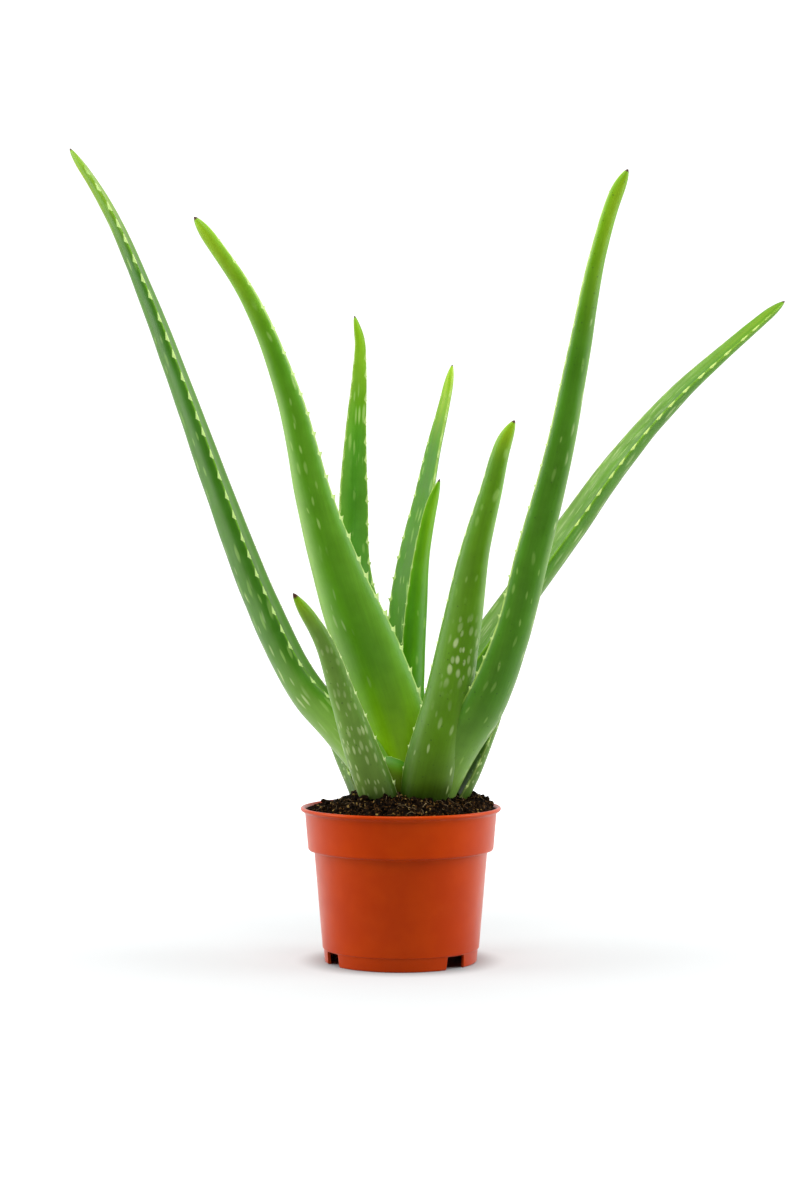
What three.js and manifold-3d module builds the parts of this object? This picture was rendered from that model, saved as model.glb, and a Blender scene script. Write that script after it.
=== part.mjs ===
// A potted aloe: a plastic nursery pot filled with potting soil, and in it a rosette of
// toothed, fleshy leaves on a short rooted stem. Millimetres, +Z up. The origin lies on the
// surface that the pot stands on, under the middle of the plant's spread.
import * as THREE from 'three';
import { mergeVertices } from 'three/addons/utils/BufferGeometryUtils.js';
import Module from 'manifold-3d';

const wasm = await Module();
wasm.setup();

// ---------------------------------------------------------------- driving dimensions

// The leaves reach further to the right than to the left, so the pot stands left of the origin.
const POT_OFFSET_X = -19.5;

// Clear space between neighbouring solids, and the finest detail kept where one cuts another.
const GAP = 0.3;
const FINEST_DETAIL = 0.02;

const POT = {
  height: 92.5,
  lipRadius: 60,
  lipBead: 1.15,
  collarTopRadius: 57.4,
  collarBottomRadius: 55.5,
  collarBottom: 66.7,
  bodyTopRadius: 51.8,
  bodyBottomRadius: 46.9,
  footHeight: 8.4,
  footRadius: 46.1,
  footRingInner: 43.4,
  wall: 1.1,
  floorUnderside: 8.8,
  floorThickness: 1.5,
  segments: 48,
};

// Openings in the foot for water to run out, by azimuth in degrees from +X towards +Y.
const NOTCH = { azimuths: [315, 208, 81.5], width: 15, topWidth: 13.4, height: 7.8 };
const DRAIN = { count: 6, radius: 4, circle: 33, firstAzimuth: 15 };

const SOIL = { edgeHeight: 88.5, moundHeight: 99.5, moundRadius: 27, clod: 1.1 };

// The short stem under the rosette. Its centre and the leaves' points are measured from
// the pot's axis.
const STEM = { x: 4, y: 2, foot: 50, shoulder: 90, top: 103, footRadius: 8, radius: 11.5, topRadius: 6 };
const ROOT = { count: 6, radius: 2.2, tipRadius: 0.9, sides: 6, steps: 5, reach: 32, drop: 26 };

// A leaf is a path with a section at each point of it. halfWidth follows the curved section
// from its middle to a margin, wrap is the angle over which that half is rolled in, thickness
// is in the middle, and facing is the azimuth towards which the leaf's back looks.
const LEAVES = {
  // the long leaf that leans far to the left, whose sheath wraps the rosette's front
  leaf_left_long: {
    path: [[-13, 4, 78], [-26, 5, 115], [-40, 10, 133], [-59, 17, 155], [-90, 30, 216],
      [-113, 38, 277], [-135, 46, 339], [-158, 54, 401], [-186, 62, 464], [-206, 66, 496]],
    halfWidth: [20, 37, 27, 20.5, 18, 16, 13.5, 10.5, 7, 4],
    thickness: [9, 10, 11, 11.5, 11.5, 10.5, 9.5, 7.5, 6, 5],
    wrap: [90, 100, 88, 78, 72, 68, 62, 56, 50, 45],
    facing: [180, 188, 180, 173, 169, 168, 167, 165, 163, 162],
    toothedFrom: 135,
  },
  // the broad leaf in the middle of the front
  leaf_broad: {
    path: [[-2, -7, 88], [-8, -12, 133], [-23, -22, 181], [-37, -32, 223], [-52, -42, 275],
      [-65, -52, 332], [-87, -60, 389], [-118, -64, 436]],
    halfWidth: [17, 26, 25.5, 19.3, 13.2, 8.9, 5.8, 4],
    thickness: [9, 10, 11, 10, 9, 7.5, 6, 5],
    wrap: [75, 60, 58, 54, 50, 46, 43, 40],
    facing: [238, 240, 242, 245, 245, 242, 240, 240],
    toothedFrom: 140,
  },
  // the short leaf at the front left
  leaf_front_left_short: {
    path: [[-5, -13, 68], [-16, -24, 102], [-25, -30, 129], [-34, -38, 158], [-46, -48, 194],
      [-62, -56, 221]],
    halfWidth: [11, 14, 12.3, 9.4, 6.6, 4],
    thickness: [8, 8, 8, 7.5, 6.5, 5],
    wrap: [70, 55, 52, 48, 44, 40],
    facing: [243, 245, 248, 250, 250, 250],
    toothedFrom: 108,
  },
  // the upright leaf at the back left, seen from its hollow side
  leaf_back_left: {
    path: [[0, 17, 84], [-4, 22, 155], [-18, 36, 191], [-29, 50, 234], [-31, 60, 277],
      [-29, 68, 321], [-26, 74, 359], [-29, 76, 393]],
    halfWidth: [14, 15, 12, 11, 9.6, 7, 4.8, 3],
    thickness: [9, 9, 8, 7.5, 7, 5.5, 4.5, 4],
    wrap: [75, 55, 50, 48, 45, 42, 40, 35],
    facing: [108, 110, 108, 105, 103, 102, 100, 100],
    toothedFrom: 160,
  },
  // the upright leaf at the back right
  leaf_back_right: {
    path: [[10, 13, 90], [6, 20, 155], [4, 30, 216], [8, 36, 246], [15, 42, 277],
      [21, 48, 308], [28, 54, 339], [32, 58, 361]],
    halfWidth: [12, 14, 11, 9, 7.9, 6.2, 4.4, 3],
    thickness: [8, 8.5, 8, 7, 6, 5, 4.5, 4],
    wrap: [75, 55, 50, 48, 45, 42, 40, 35],
    facing: [65, 60, 55, 52, 50, 48, 46, 46],
    toothedFrom: 160,
  },
  // the spotted leaf at the front right
  leaf_front_right: {
    path: [[9, -14, 68], [18, -28, 111], [29, -36, 158], [37, -44, 203], [44, -51, 246],
      [52, -57, 278], [60, -62, 309], [65, -64, 320]],
    halfWidth: [12, 18.5, 16.3, 13.4, 9.7, 7.2, 5, 4],
    thickness: [8, 10, 10, 9, 8, 7, 6, 5],
    wrap: [75, 56, 54, 50, 46, 43, 40, 35],
    facing: [285, 285, 286, 288, 290, 290, 290, 290],
    toothedFrom: 105,
  },
  // the youngest leaf, in the middle of the rosette
  leaf_young: {
    path: [[5, 1, 94], [7, -2, 136], [9, -4, 168], [11, -7, 210], [14, -10, 246],
      [19, -12, 273], [22, -14, 286]],
    halfWidth: [8, 11, 11, 8.6, 5.5, 3.8, 2.5],
    thickness: [7, 7, 6.5, 6, 5, 4, 3.5],
    wrap: [55, 58, 55, 52, 48, 45, 40],
    facing: [318, 318, 318, 318, 318, 318, 318],
    toothedFrom: 140,
  },
  // the long leaf that rises to the right
  leaf_right_long: {
    path: [[16, -9, 76], [31, -20, 117], [52, -35, 158], [65, -49, 194], [78, -65, 246],
      [91, -79, 302], [101, -90, 358], [111, -98, 413], [120, -102, 444], [126, -104, 457]],
    halfWidth: [14, 17, 15, 12.7, 11.8, 9.5, 7.5, 5.2, 4.3, 4],
    thickness: [9, 10, 10, 9.5, 9, 8, 7, 6, 5.5, 5],
    wrap: [80, 65, 58, 54, 50, 47, 45, 42, 40, 35],
    facing: [318, 312, 302, 298, 296, 296, 296, 296, 296, 296],
    toothedFrom: 130,
  },
  // the leaf that arches furthest to the right
  leaf_right_arching: {
    path: [[18, 7, 76], [21, 14, 127], [44, 30, 169], [77, 46, 215], [109, 60, 259],
      [141, 73, 303], [175, 86, 342], [213, 97, 377], [245, 104, 405]],
    halfWidth: [14, 17, 18.5, 18.5, 16, 13.5, 10.8, 7.5, 4.5],
    thickness: [9, 10, 10.5, 10.5, 10, 9, 7.5, 5.5, 4.5],
    wrap: [80, 70, 68, 66, 62, 58, 52, 45, 40],
    facing: [20, 22, 25, 25, 25, 25, 25, 25, 25],
    toothedFrom: 135,
  },
  // the small old leaf low on the right
  leaf_right_small: {
    path: [[19, 5, 64], [37, 0, 101], [44, -2, 116], [51, -3, 133], [57, -3, 149], [61, -2, 164]],
    halfWidth: [10, 12, 10.5, 9, 6.5, 4],
    thickness: [8, 8, 7.5, 6.5, 5.5, 4.5],
    wrap: [70, 58, 54, 50, 45, 40],
    facing: [15, 20, 25, 30, 34, 34],
    toothedFrom: 106,
  },
  // the small old leaf low on the left
  leaf_left_small: {
    path: [[-12, 13, 64], [-27, 22, 100], [-34, 29, 115], [-41, 36, 131], [-47, 41, 147],
      [-51, 44, 159]],
    halfWidth: [10, 12, 10.5, 9, 6.5, 4],
    thickness: [8, 8, 7.5, 6.5, 5.5, 4.5],
    wrap: [70, 58, 54, 50, 45, 40],
    facing: [150, 150, 150, 150, 150, 150],
    toothedFrom: 112,
  },
};

// From the heart of the rosette outwards: each leaf is shaped by those inside it.
const GROWTH_ORDER = ['leaf_young', 'leaf_back_right', 'leaf_broad', 'leaf_back_left',
  'leaf_right_arching', 'leaf_right_long', 'leaf_left_long', 'leaf_front_right',
  'leaf_front_left_short', 'leaf_right_small', 'leaf_left_small'];

const LEAF = {
  ringSpacing: 30,
  lateralSteps: 6,
  marginThickness: 1,
  tipLength: 14,
  tipRings: [0.45, 0.12, 0],
  tipFloor: 0.18,
};
const TOOTH = {
  spacing: 26,
  fromTip: 17,
  length: 3.6,
  thickness: 1.15,
  height: 1.9,
  lean: 1.2,
  sunk: 0.9,
  fullSizeWidth: 16,
};

const COLOURS = {
  pot: { color: 0xb23a17, roughness: 0.42, metalness: 0 },
  soil: { color: 0x1d130c, roughness: 0.95, metalness: 0 },
  stem: { color: 0x8a8a55, roughness: 0.7, metalness: 0 },
  oldLeaf: { color: 0x4c7a3a, roughness: 0.4, metalness: 0 },
  youngLeaf: { color: 0x6fa01f, roughness: 0.4, metalness: 0 },
};
const YOUNG_LEAVES = ['leaf_young', 'leaf_broad', 'leaf_back_left', 'leaf_back_right'];

// ---------------------------------------------------------------- solids

const radians = THREE.MathUtils.degToRad;

// A closed three.js geometry as a solid that can be joined and cut.
function toSolid(geometry) {
  const bare = new THREE.BufferGeometry();
  bare.setAttribute('position', geometry.getAttribute('position').clone());
  if (geometry.index) bare.setIndex(geometry.index.clone());
  const merged = mergeVertices(bare, 1e-3);
  const positions = merged.getAttribute('position').array;
  const corners = Array.from(merged.index.array);
  const triangles = [];
  for (let i = 0; i < corners.length; i += 3) {
    const [a, b, c] = corners.slice(i, i + 3);
    if (a !== b && b !== c && c !== a) triangles.push(a, b, c);
  }
  const mesh = new wasm.Mesh({
    numProp: 3,
    vertProperties: new Float32Array(positions),
    triVerts: new Uint32Array(triangles),
  });
  return new wasm.Manifold(mesh);
}

// The largest connected piece of a solid: loose scraps left by a cut are dropped, and so are
// creases finer than the detail kept.
function largestPiece(solid) {
  const pieces = toSolid(toGeometry(solid.simplify(FINEST_DETAIL))).decompose();
  return pieces.reduce((best, piece) => (piece.volume() > best.volume() ? piece : best));
}

function toGeometry(solid) {
  const mesh = solid.getMesh();
  const geometry = new THREE.BufferGeometry();
  geometry.setAttribute('position', new THREE.BufferAttribute(new Float32Array(mesh.vertProperties), 3));
  geometry.setIndex(Array.from(mesh.triVerts));
  return geometry;
}

// Closed skin over a stack of rings that all have the same number of points.
function skinRings(rings) {
  const count = rings[0].length;
  const positions = rings.flat().flatMap((point) => [point.x, point.y, point.z]);
  const index = [];
  for (let ring = 0; ring < rings.length - 1; ring += 1) {
    for (let i = 0; i < count; i += 1) {
      const next = (i + 1) % count;
      const low = ring * count;
      const high = low + count;
      index.push(low + i, low + next, high + next, low + i, high + next, high + i);
    }
  }
  const last = (rings.length - 1) * count;
  for (let i = 1; i < count / 2; i += 1) {
    const far = count - i;
    index.push(i - 1, far % count, i);
    index.push(last + i - 1, last + i, last + (far % count));
    if (i < far - 1) {
      index.push(i, far % count, far - 1);
      index.push(last + i, last + far - 1, last + (far % count));
    }
  }
  const geometry = new THREE.BufferGeometry();
  geometry.setAttribute('position', new THREE.Float32BufferAttribute(positions, 3));
  geometry.setIndex(index);
  return geometry;
}

// ---------------------------------------------------------------- pot

function potProfile() {
  const bead = POT.lipBead;
  const beadZ = POT.height - bead;
  const beadR = POT.lipRadius - bead;
  const beadPoints = [-35, 0, 45, 90, 135, 180].map((degrees) => new THREE.Vector2(
    beadR + bead * Math.cos(radians(degrees)),
    beadZ + bead * Math.sin(radians(degrees)),
  ));
  const floorTop = POT.floorUnderside + POT.floorThickness;
  const point = (r, z) => new THREE.Vector2(r, z);
  return [
    point(0, POT.floorUnderside),
    point(POT.footRadius - POT.wall - 0.3, POT.floorUnderside),
    point(POT.footRingInner, 0),
    point(POT.footRadius - 1.3, 0),
    point(POT.footRadius - 0.5, 0.9),
    point(POT.footRadius, POT.footHeight - 0.7),
    point(POT.bodyBottomRadius, POT.footHeight),
    point(POT.bodyTopRadius, POT.collarBottom - 1),
    point(POT.collarBottomRadius - 2.2, POT.collarBottom),
    point(POT.collarBottomRadius - 0.6, POT.collarBottom + 0.8),
    point(POT.collarBottomRadius, POT.collarBottom + 2.6),
    point(POT.collarTopRadius, POT.height - 3.6),
    ...beadPoints,
    point(POT.collarTopRadius - POT.wall, POT.height - 4),
    point(POT.collarBottomRadius - POT.wall, POT.collarBottom + 3),
    point(POT.collarBottomRadius - 2, POT.collarBottom + 1.5),
    point(POT.bodyTopRadius - POT.wall, POT.collarBottom + 0.9),
    point(POT.bodyBottomRadius - POT.wall, floorTop),
    point(0, floorTop),
  ];
}

function notchCutter(azimuth) {
  const outline = new THREE.Shape([
    new THREE.Vector2(-NOTCH.width / 2, -1),
    new THREE.Vector2(NOTCH.width / 2, -1),
    new THREE.Vector2(NOTCH.topWidth / 2, NOTCH.height),
    new THREE.Vector2(-NOTCH.topWidth / 2, NOTCH.height),
  ]);
  const cutter = new THREE.ExtrudeGeometry(outline, { depth: 12, bevelEnabled: false });
  cutter.rotateX(Math.PI / 2);
  cutter.rotateZ(Math.PI);
  cutter.translate(0, POT.footRadius - 8, 0);
  cutter.rotateZ(radians(azimuth - 90));
  return toSolid(cutter);
}

function potSolid() {
  const shell = new THREE.LatheGeometry(potProfile(), POT.segments);
  shell.rotateX(Math.PI / 2);
  let pot = toSolid(shell);
  for (const azimuth of NOTCH.azimuths) pot = pot.subtract(notchCutter(azimuth));
  for (let i = 0; i < DRAIN.count; i += 1) {
    const angle = radians(DRAIN.firstAzimuth + (i * 360) / DRAIN.count);
    const hole = new THREE.CylinderGeometry(DRAIN.radius, DRAIN.radius, 6, 10);
    hole.rotateX(Math.PI / 2);
    hole.translate(DRAIN.circle * Math.cos(angle), DRAIN.circle * Math.sin(angle), POT.floorUnderside);
    pot = pot.subtract(toSolid(hole));
  }
  return pot;
}

// ---------------------------------------------------------------- soil

function soilHeight(x, y) {
  const radius = Math.hypot(x, y);
  const edge = POT.collarTopRadius - POT.wall;
  const rise = THREE.MathUtils.smoothstep(edge - radius, 0, edge - SOIL.moundRadius);
  const clods = Math.sin(0.31 * x + 1.3) * Math.cos(0.27 * y - 0.4)
    + 0.6 * Math.sin(0.53 * x - 0.47 * y) + 0.4 * Math.cos(0.21 * x + 0.63 * y + 2);
  const loose = THREE.MathUtils.smoothstep(edge - radius, 0, 6);
  return THREE.MathUtils.lerp(SOIL.edgeHeight, SOIL.moundHeight, rise) + SOIL.clod * clods * loose;
}

function soilSolid() {
  const point = (r, z) => new THREE.Vector2(r, z);
  const edge = POT.collarTopRadius - POT.wall - GAP - 0.1;
  const floorTop = POT.floorUnderside + POT.floorThickness + GAP;
  const side = [
    point(0, floorTop),
    point(POT.bodyBottomRadius - POT.wall - GAP - 0.1, floorTop),
    point(POT.bodyTopRadius - POT.wall - GAP - 0.1, POT.collarBottom + 1.3),
    point(POT.collarBottomRadius - 2 - GAP - 0.1, POT.collarBottom + 1.9),
    point(POT.collarBottomRadius - POT.wall - GAP - 0.1, POT.collarBottom + 3),
    point(edge - 0.2, SOIL.edgeHeight - 0.8),
  ];
  const surface = [53, 48, 42, 35, 27, 17, 8, 0].map((r) => point(r, SOIL.moundHeight));
  const body = new THREE.LatheGeometry([...side, ...surface], 36);
  body.rotateX(Math.PI / 2);
  const position = body.getAttribute('position');
  for (let i = 0; i < position.count; i += 1) {
    if (position.getZ(i) > SOIL.moundHeight - 0.5) {
      position.setZ(i, soilHeight(position.getX(i), position.getY(i)));
    }
  }
  return toSolid(body);
}

// ---------------------------------------------------------------- stem and roots

function stemSolid(grow = 0) {
  const profile = [
    [0, STEM.foot - grow],
    [STEM.footRadius + grow, STEM.foot - grow],
    [STEM.radius + grow, STEM.foot + 12],
    [STEM.radius + grow, STEM.shoulder],
    [STEM.topRadius + grow, STEM.top + grow],
    [0, STEM.top + grow],
  ].map(([r, z]) => new THREE.Vector2(r, z));
  const trunk = new THREE.LatheGeometry(profile, 16);
  trunk.rotateX(Math.PI / 2);
  trunk.translate(STEM.x, STEM.y, 0);
  let stem = toSolid(trunk);
  for (let i = 0; i < ROOT.count; i += 1) stem = stem.add(rootSolid(i, grow));
  return stem;
}

// A root leaves the stem's foot sideways and turns down into the soil.
function rootSolid(i, grow) {
  const azimuth = (i * 2 * Math.PI) / ROOT.count + 0.4 * Math.sin(2.1 * i);
  const reach = ROOT.reach * (1 - 0.18 * Math.cos(1.7 * i));
  const rings = [];
  for (let step = 0; step <= ROOT.steps; step += 1) {
    const t = step / ROOT.steps;
    const radius = THREE.MathUtils.lerp(ROOT.radius, ROOT.tipRadius, t) + grow;
    const along = 4 + (reach - 4) * t + (step === ROOT.steps ? grow : 0);
    const centre = new THREE.Vector3(
      STEM.x + along * Math.cos(azimuth),
      STEM.y + along * Math.sin(azimuth),
      STEM.foot + 6 - ROOT.drop * t * t,
    );
    const turn = Math.atan2(2 * ROOT.drop * t, reach);
    const side = new THREE.Vector3(-Math.sin(azimuth), Math.cos(azimuth), 0);
    const up = new THREE.Vector3(
      Math.sin(turn) * Math.cos(azimuth),
      Math.sin(turn) * Math.sin(azimuth),
      Math.cos(turn),
    );
    const ring = [];
    for (let k = 0; k < ROOT.sides; k += 1) {
      const angle = (k * 2 * Math.PI) / ROOT.sides;
      ring.push(centre.clone()
        .addScaledVector(side, radius * Math.cos(angle))
        .addScaledVector(up, radius * Math.sin(angle)));
    }
    rings.push(ring);
  }
  return toSolid(skinRings(rings));
}

// ---------------------------------------------------------------- leaves

// Catmull-Rom value of a list at t from 0 to 1.
function sample(values, t) {
  const spans = values.length - 1;
  const i = Math.min(Math.floor(t * spans), spans - 1);
  const w = t * spans - i;
  const before = i > 0 ? values[i - 1] : 2 * values[0] - values[1];
  const after = i < spans - 1 ? values[i + 2] : 2 * values[spans] - values[spans - 1];
  const v0 = (values[i + 1] - before) / 2;
  const v1 = (after - values[i]) / 2;
  const a = 2 * values[i] - 2 * values[i + 1] + v0 + v1;
  const b = -3 * values[i] + 3 * values[i + 1] - 2 * v0 - v1;
  return ((a * w + b) * w + v0) * w + values[i];
}

// The leaf's middle, its directions and its section's sizes at t along the path.
function station(leaf, t) {
  const at = (u) => new THREE.Vector3(...[0, 1, 2].map((axis) => sample(leaf.path.map((p) => p[axis]), u)));
  const middle = at(t);
  const step = 0.004;
  const along = at(Math.min(t + step, 1)).sub(at(Math.max(t - step, 0))).normalize();
  const azimuth = radians(sample(leaf.facing, t));
  const back = new THREE.Vector3(Math.cos(azimuth), Math.sin(azimuth), 0);
  back.addScaledVector(along, -back.dot(along)).normalize();
  const side = new THREE.Vector3().crossVectors(along, back);
  return {
    middle,
    along,
    back,
    side,
    halfWidth: sample(leaf.halfWidth, t),
    thickness: sample(leaf.thickness, t),
    wrap: radians(sample(leaf.wrap, t)),
  };
}

// Distance along the path at evenly spaced t, for placing rings and teeth by length.
function pathLength(leaf, steps = 120) {
  const lengths = [0];
  let previous = station(leaf, 0).middle;
  for (let i = 1; i <= steps; i += 1) {
    const next = station(leaf, i / steps).middle;
    lengths.push(lengths[i - 1] + next.distanceTo(previous));
    previous = next;
  }
  return {
    total: lengths[steps],
    atLength(length) {
      const i = Math.min(lengths.findIndex((value) => value >= length), steps);
      if (i <= 0) return i === 0 ? 0 : 1;
      const part = (length - lengths[i - 1]) / (lengths[i] - lengths[i - 1]);
      return (i - 1 + part) / steps;
    },
  };
}

// A point of the section: u runs from one margin (-1) to the other (1), lift is the height
// over the curved middle surface, towards the leaf's back.
function sectionPoint(place, u, lift) {
  const radius = place.halfWidth / place.wrap;
  const angle = place.wrap * u;
  return place.middle.clone()
    .addScaledVector(place.side, (radius + lift) * Math.sin(angle))
    .addScaledVector(place.back, (radius + lift) * Math.cos(angle) - radius);
}

function halfThickness(place, u) {
  const round = Math.max(1 - Math.abs(u) ** 2.2, 0) ** 0.8;
  return (place.thickness / 2) * round;
}

// One ring round the blade: along its back from margin to margin, and back along its face.
function bladeRing(leaf, t, taper, grow) {
  const place = station(leaf, t);
  place.halfWidth = place.halfWidth * taper + grow;
  const ring = [];
  const steps = LEAF.lateralSteps;
  for (let i = 0; i <= 2 * steps + 1; i += 1) {
    const back = i <= steps;
    const u = -Math.cos(((back ? i : 2 * steps + 1 - i) * Math.PI) / steps);
    const lift = Math.max(halfThickness(place, u) * taper, LEAF.marginThickness / 2) + grow;
    ring.push(sectionPoint(place, u, back ? lift : -lift));
  }
  return ring;
}

// The blade's rings from foot to tip, each with its distance from the tip along the path.
function bladeRings(leaf, grow) {
  const length = pathLength(leaf);
  const straight = length.total - LEAF.tipLength;
  const count = Math.ceil(straight / LEAF.ringSpacing);
  const rings = [];
  for (let i = 0; i <= count; i += 1) {
    const distance = (straight * i) / count;
    rings.push({ left: length.total - distance, points: bladeRing(leaf, length.atLength(distance), 1, grow) });
  }
  for (const share of LEAF.tipRings) {
    const taper = Math.max(Math.sqrt(1 - (1 - share) ** 2), LEAF.tipFloor);
    const left = share * LEAF.tipLength;
    rings.push({ left, points: bladeRing(leaf, length.atLength(length.total - left - 0.001), taper, grow) });
  }
  return rings;
}

// A soft tooth: a small pyramid on the margin that leans towards the leaf's tip. It stands on
// the flat facet between two rings, whose margin runs from low to high.
function toothSolid(low, high, share, margin, size, grow) {
  const steps = LEAF.lateralSteps;
  const [outer, inner] = margin < 0 ? [0, 2 * steps + 1] : [steps, steps + 1];
  const [outerNext, innerNext] = margin < 0 ? [1, 2 * steps] : [steps - 1, steps + 2];
  const between = (i, j) => low[i].clone().add(low[j]).lerp(high[i].clone().add(high[j]), share).multiplyScalar(0.5);
  const edge = between(outer, inner);
  const inward = between(outerNext, innerNext).sub(edge).normalize();
  const along = high[outer].clone().sub(low[outer]).normalize();
  const across = new THREE.Vector3().crossVectors(along, inward).normalize();
  const half = (TOOTH.length / 2) * size + grow;
  const thick = (TOOTH.thickness / 2) * size + grow;
  const corners = [[-1, -1], [1, -1], [1, 1], [-1, 1]].map(([a, b]) => edge.clone()
    .addScaledVector(inward, TOOTH.sunk + grow)
    .addScaledVector(along, half * a)
    .addScaledVector(across, thick * b));
  const apex = edge.clone()
    .addScaledVector(inward, -TOOTH.height * size - 2 * grow)
    .addScaledVector(along, TOOTH.lean * size);
  const geometry = new THREE.BufferGeometry();
  geometry.setAttribute('position', new THREE.Float32BufferAttribute(
    [...corners, apex].flatMap((point) => [point.x, point.y, point.z]),
    3,
  ));
  geometry.setIndex([0, 2, 1, 0, 3, 2, 0, 1, 4, 1, 2, 4, 2, 3, 4, 3, 0, 4]);
  return toSolid(geometry);
}

// The blade with teeth evenly spaced along both margins, from near the tip down to the height
// where the leaf's toothed part ends.
function leafSolid(leaf, grow = 0) {
  const rings = bladeRings(leaf, grow);
  let solid = toSolid(skinRings(rings.map((ring) => ring.points)));
  for (const margin of [-1, 1]) {
    const first = TOOTH.fromTip + (margin > 0 ? TOOTH.spacing / 2 : 0);
    for (let left = first; left < rings[0].left; left += TOOTH.spacing) {
      const i = rings.findIndex((ring) => ring.left < left);
      const [low, high] = [rings[i - 1], rings[i]];
      const share = (low.left - left) / (low.left - high.left);
      if (THREE.MathUtils.lerp(low.points[0].z, high.points[0].z, share) < leaf.toothedFrom) break;
      const width = low.points[0].distanceTo(low.points[LEAF.lateralSteps]);
      const size = THREE.MathUtils.clamp(width / TOOTH.fullSizeWidth, 0.6, 1);
      solid = solid.add(toothSolid(low.points, high.points, share, margin, size, grow));
    }
  }
  return solid;
}

// ---------------------------------------------------------------- the plant

const plant = new THREE.Group();
plant.position.x = POT_OFFSET_X;

function place(name, solid, colour) {
  const mesh = new THREE.Mesh(toGeometry(solid), new THREE.MeshStandardMaterial(colour));
  mesh.name = name;
  plant.add(mesh);
}

place('pot', potSolid(), COLOURS.pot);

const stem = stemSolid();
place('stem', stem, COLOURS.stem);

let inside = stemSolid(GAP);
for (const name of GROWTH_ORDER) {
  const leaf = LEAVES[name];
  const colour = YOUNG_LEAVES.includes(name) ? COLOURS.youngLeaf : COLOURS.oldLeaf;
  place(name, largestPiece(leafSolid(leaf).subtract(inside)), colour);
  inside = inside.add(leafSolid(leaf, GAP));
}
place('soil', largestPiece(soilSolid().subtract(inside)), COLOURS.soil);

export default plant;
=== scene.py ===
"""The looks of a potted aloe: a rosette of fleshy, toothed leaves in a plastic nursery pot of soil.

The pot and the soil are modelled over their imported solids. The leaves are laid on the same paths
and sections as their solids, with finer margins, teeth, flecks and fibres. Millimetres are turned
into metres by MM, and the leaves' numbers are measured from the pot's axis.
"""

import math
import random

import bpy
import numpy as np
from mathutils import Matrix, Vector, noise


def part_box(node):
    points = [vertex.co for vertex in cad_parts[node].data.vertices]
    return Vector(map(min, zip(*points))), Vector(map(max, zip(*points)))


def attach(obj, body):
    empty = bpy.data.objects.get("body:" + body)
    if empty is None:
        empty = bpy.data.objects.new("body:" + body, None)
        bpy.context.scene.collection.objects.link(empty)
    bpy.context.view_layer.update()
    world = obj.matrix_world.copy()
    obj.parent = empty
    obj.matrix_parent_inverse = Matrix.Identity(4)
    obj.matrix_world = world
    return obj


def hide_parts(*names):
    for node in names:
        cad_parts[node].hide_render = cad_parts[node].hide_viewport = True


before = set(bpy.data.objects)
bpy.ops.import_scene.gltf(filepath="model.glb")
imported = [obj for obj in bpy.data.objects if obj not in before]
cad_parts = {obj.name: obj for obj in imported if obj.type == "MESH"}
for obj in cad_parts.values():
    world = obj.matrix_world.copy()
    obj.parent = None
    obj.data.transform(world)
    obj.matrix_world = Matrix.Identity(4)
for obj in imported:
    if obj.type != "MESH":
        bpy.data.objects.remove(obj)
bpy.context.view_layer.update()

MM = 0.001
POT_LOW, POT_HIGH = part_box("pot")
POT_X = (POT_LOW.x + POT_HIGH.x) / 2
POT_Y = (POT_LOW.y + POT_HIGH.y) / 2

# ---- camera ----

# The photograph is 800 by 1200 pixels, with the pot's axis just right of its middle and the
# horizon above it.
FOCAL_PIXELS = 2500
FRAME_HEIGHT_PIXELS = 1200
HORIZON_BELOW_TOP_PIXELS = 555
SENSOR_MM = 36
CAMERA_DISTANCE = 1.495
CAMERA_HEIGHT = 0.243
CAMERA_LEFT_OF_AXIS = 0.0005


def add_camera():
    data = bpy.data.cameras.new("camera")
    data.sensor_width = SENSOR_MM
    data.lens = SENSOR_MM * FOCAL_PIXELS / FRAME_HEIGHT_PIXELS
    camera = bpy.data.objects.new("camera", data)
    bpy.context.scene.collection.objects.link(camera)
    below_middle = FRAME_HEIGHT_PIXELS / 2 - HORIZON_BELOW_TOP_PIXELS
    pitch = math.atan(below_middle / FOCAL_PIXELS)
    camera.location = (POT_X - CAMERA_LEFT_OF_AXIS, POT_Y - CAMERA_DISTANCE, CAMERA_HEIGHT)
    camera.rotation_euler = (math.pi / 2 - pitch, 0, 0)
    bpy.context.scene.camera = camera


# ---- node trees ----

FLOAT, COLOUR, VECTOR = "NodeSocketFloat", "NodeSocketColor", "NodeSocketVector"


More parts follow.
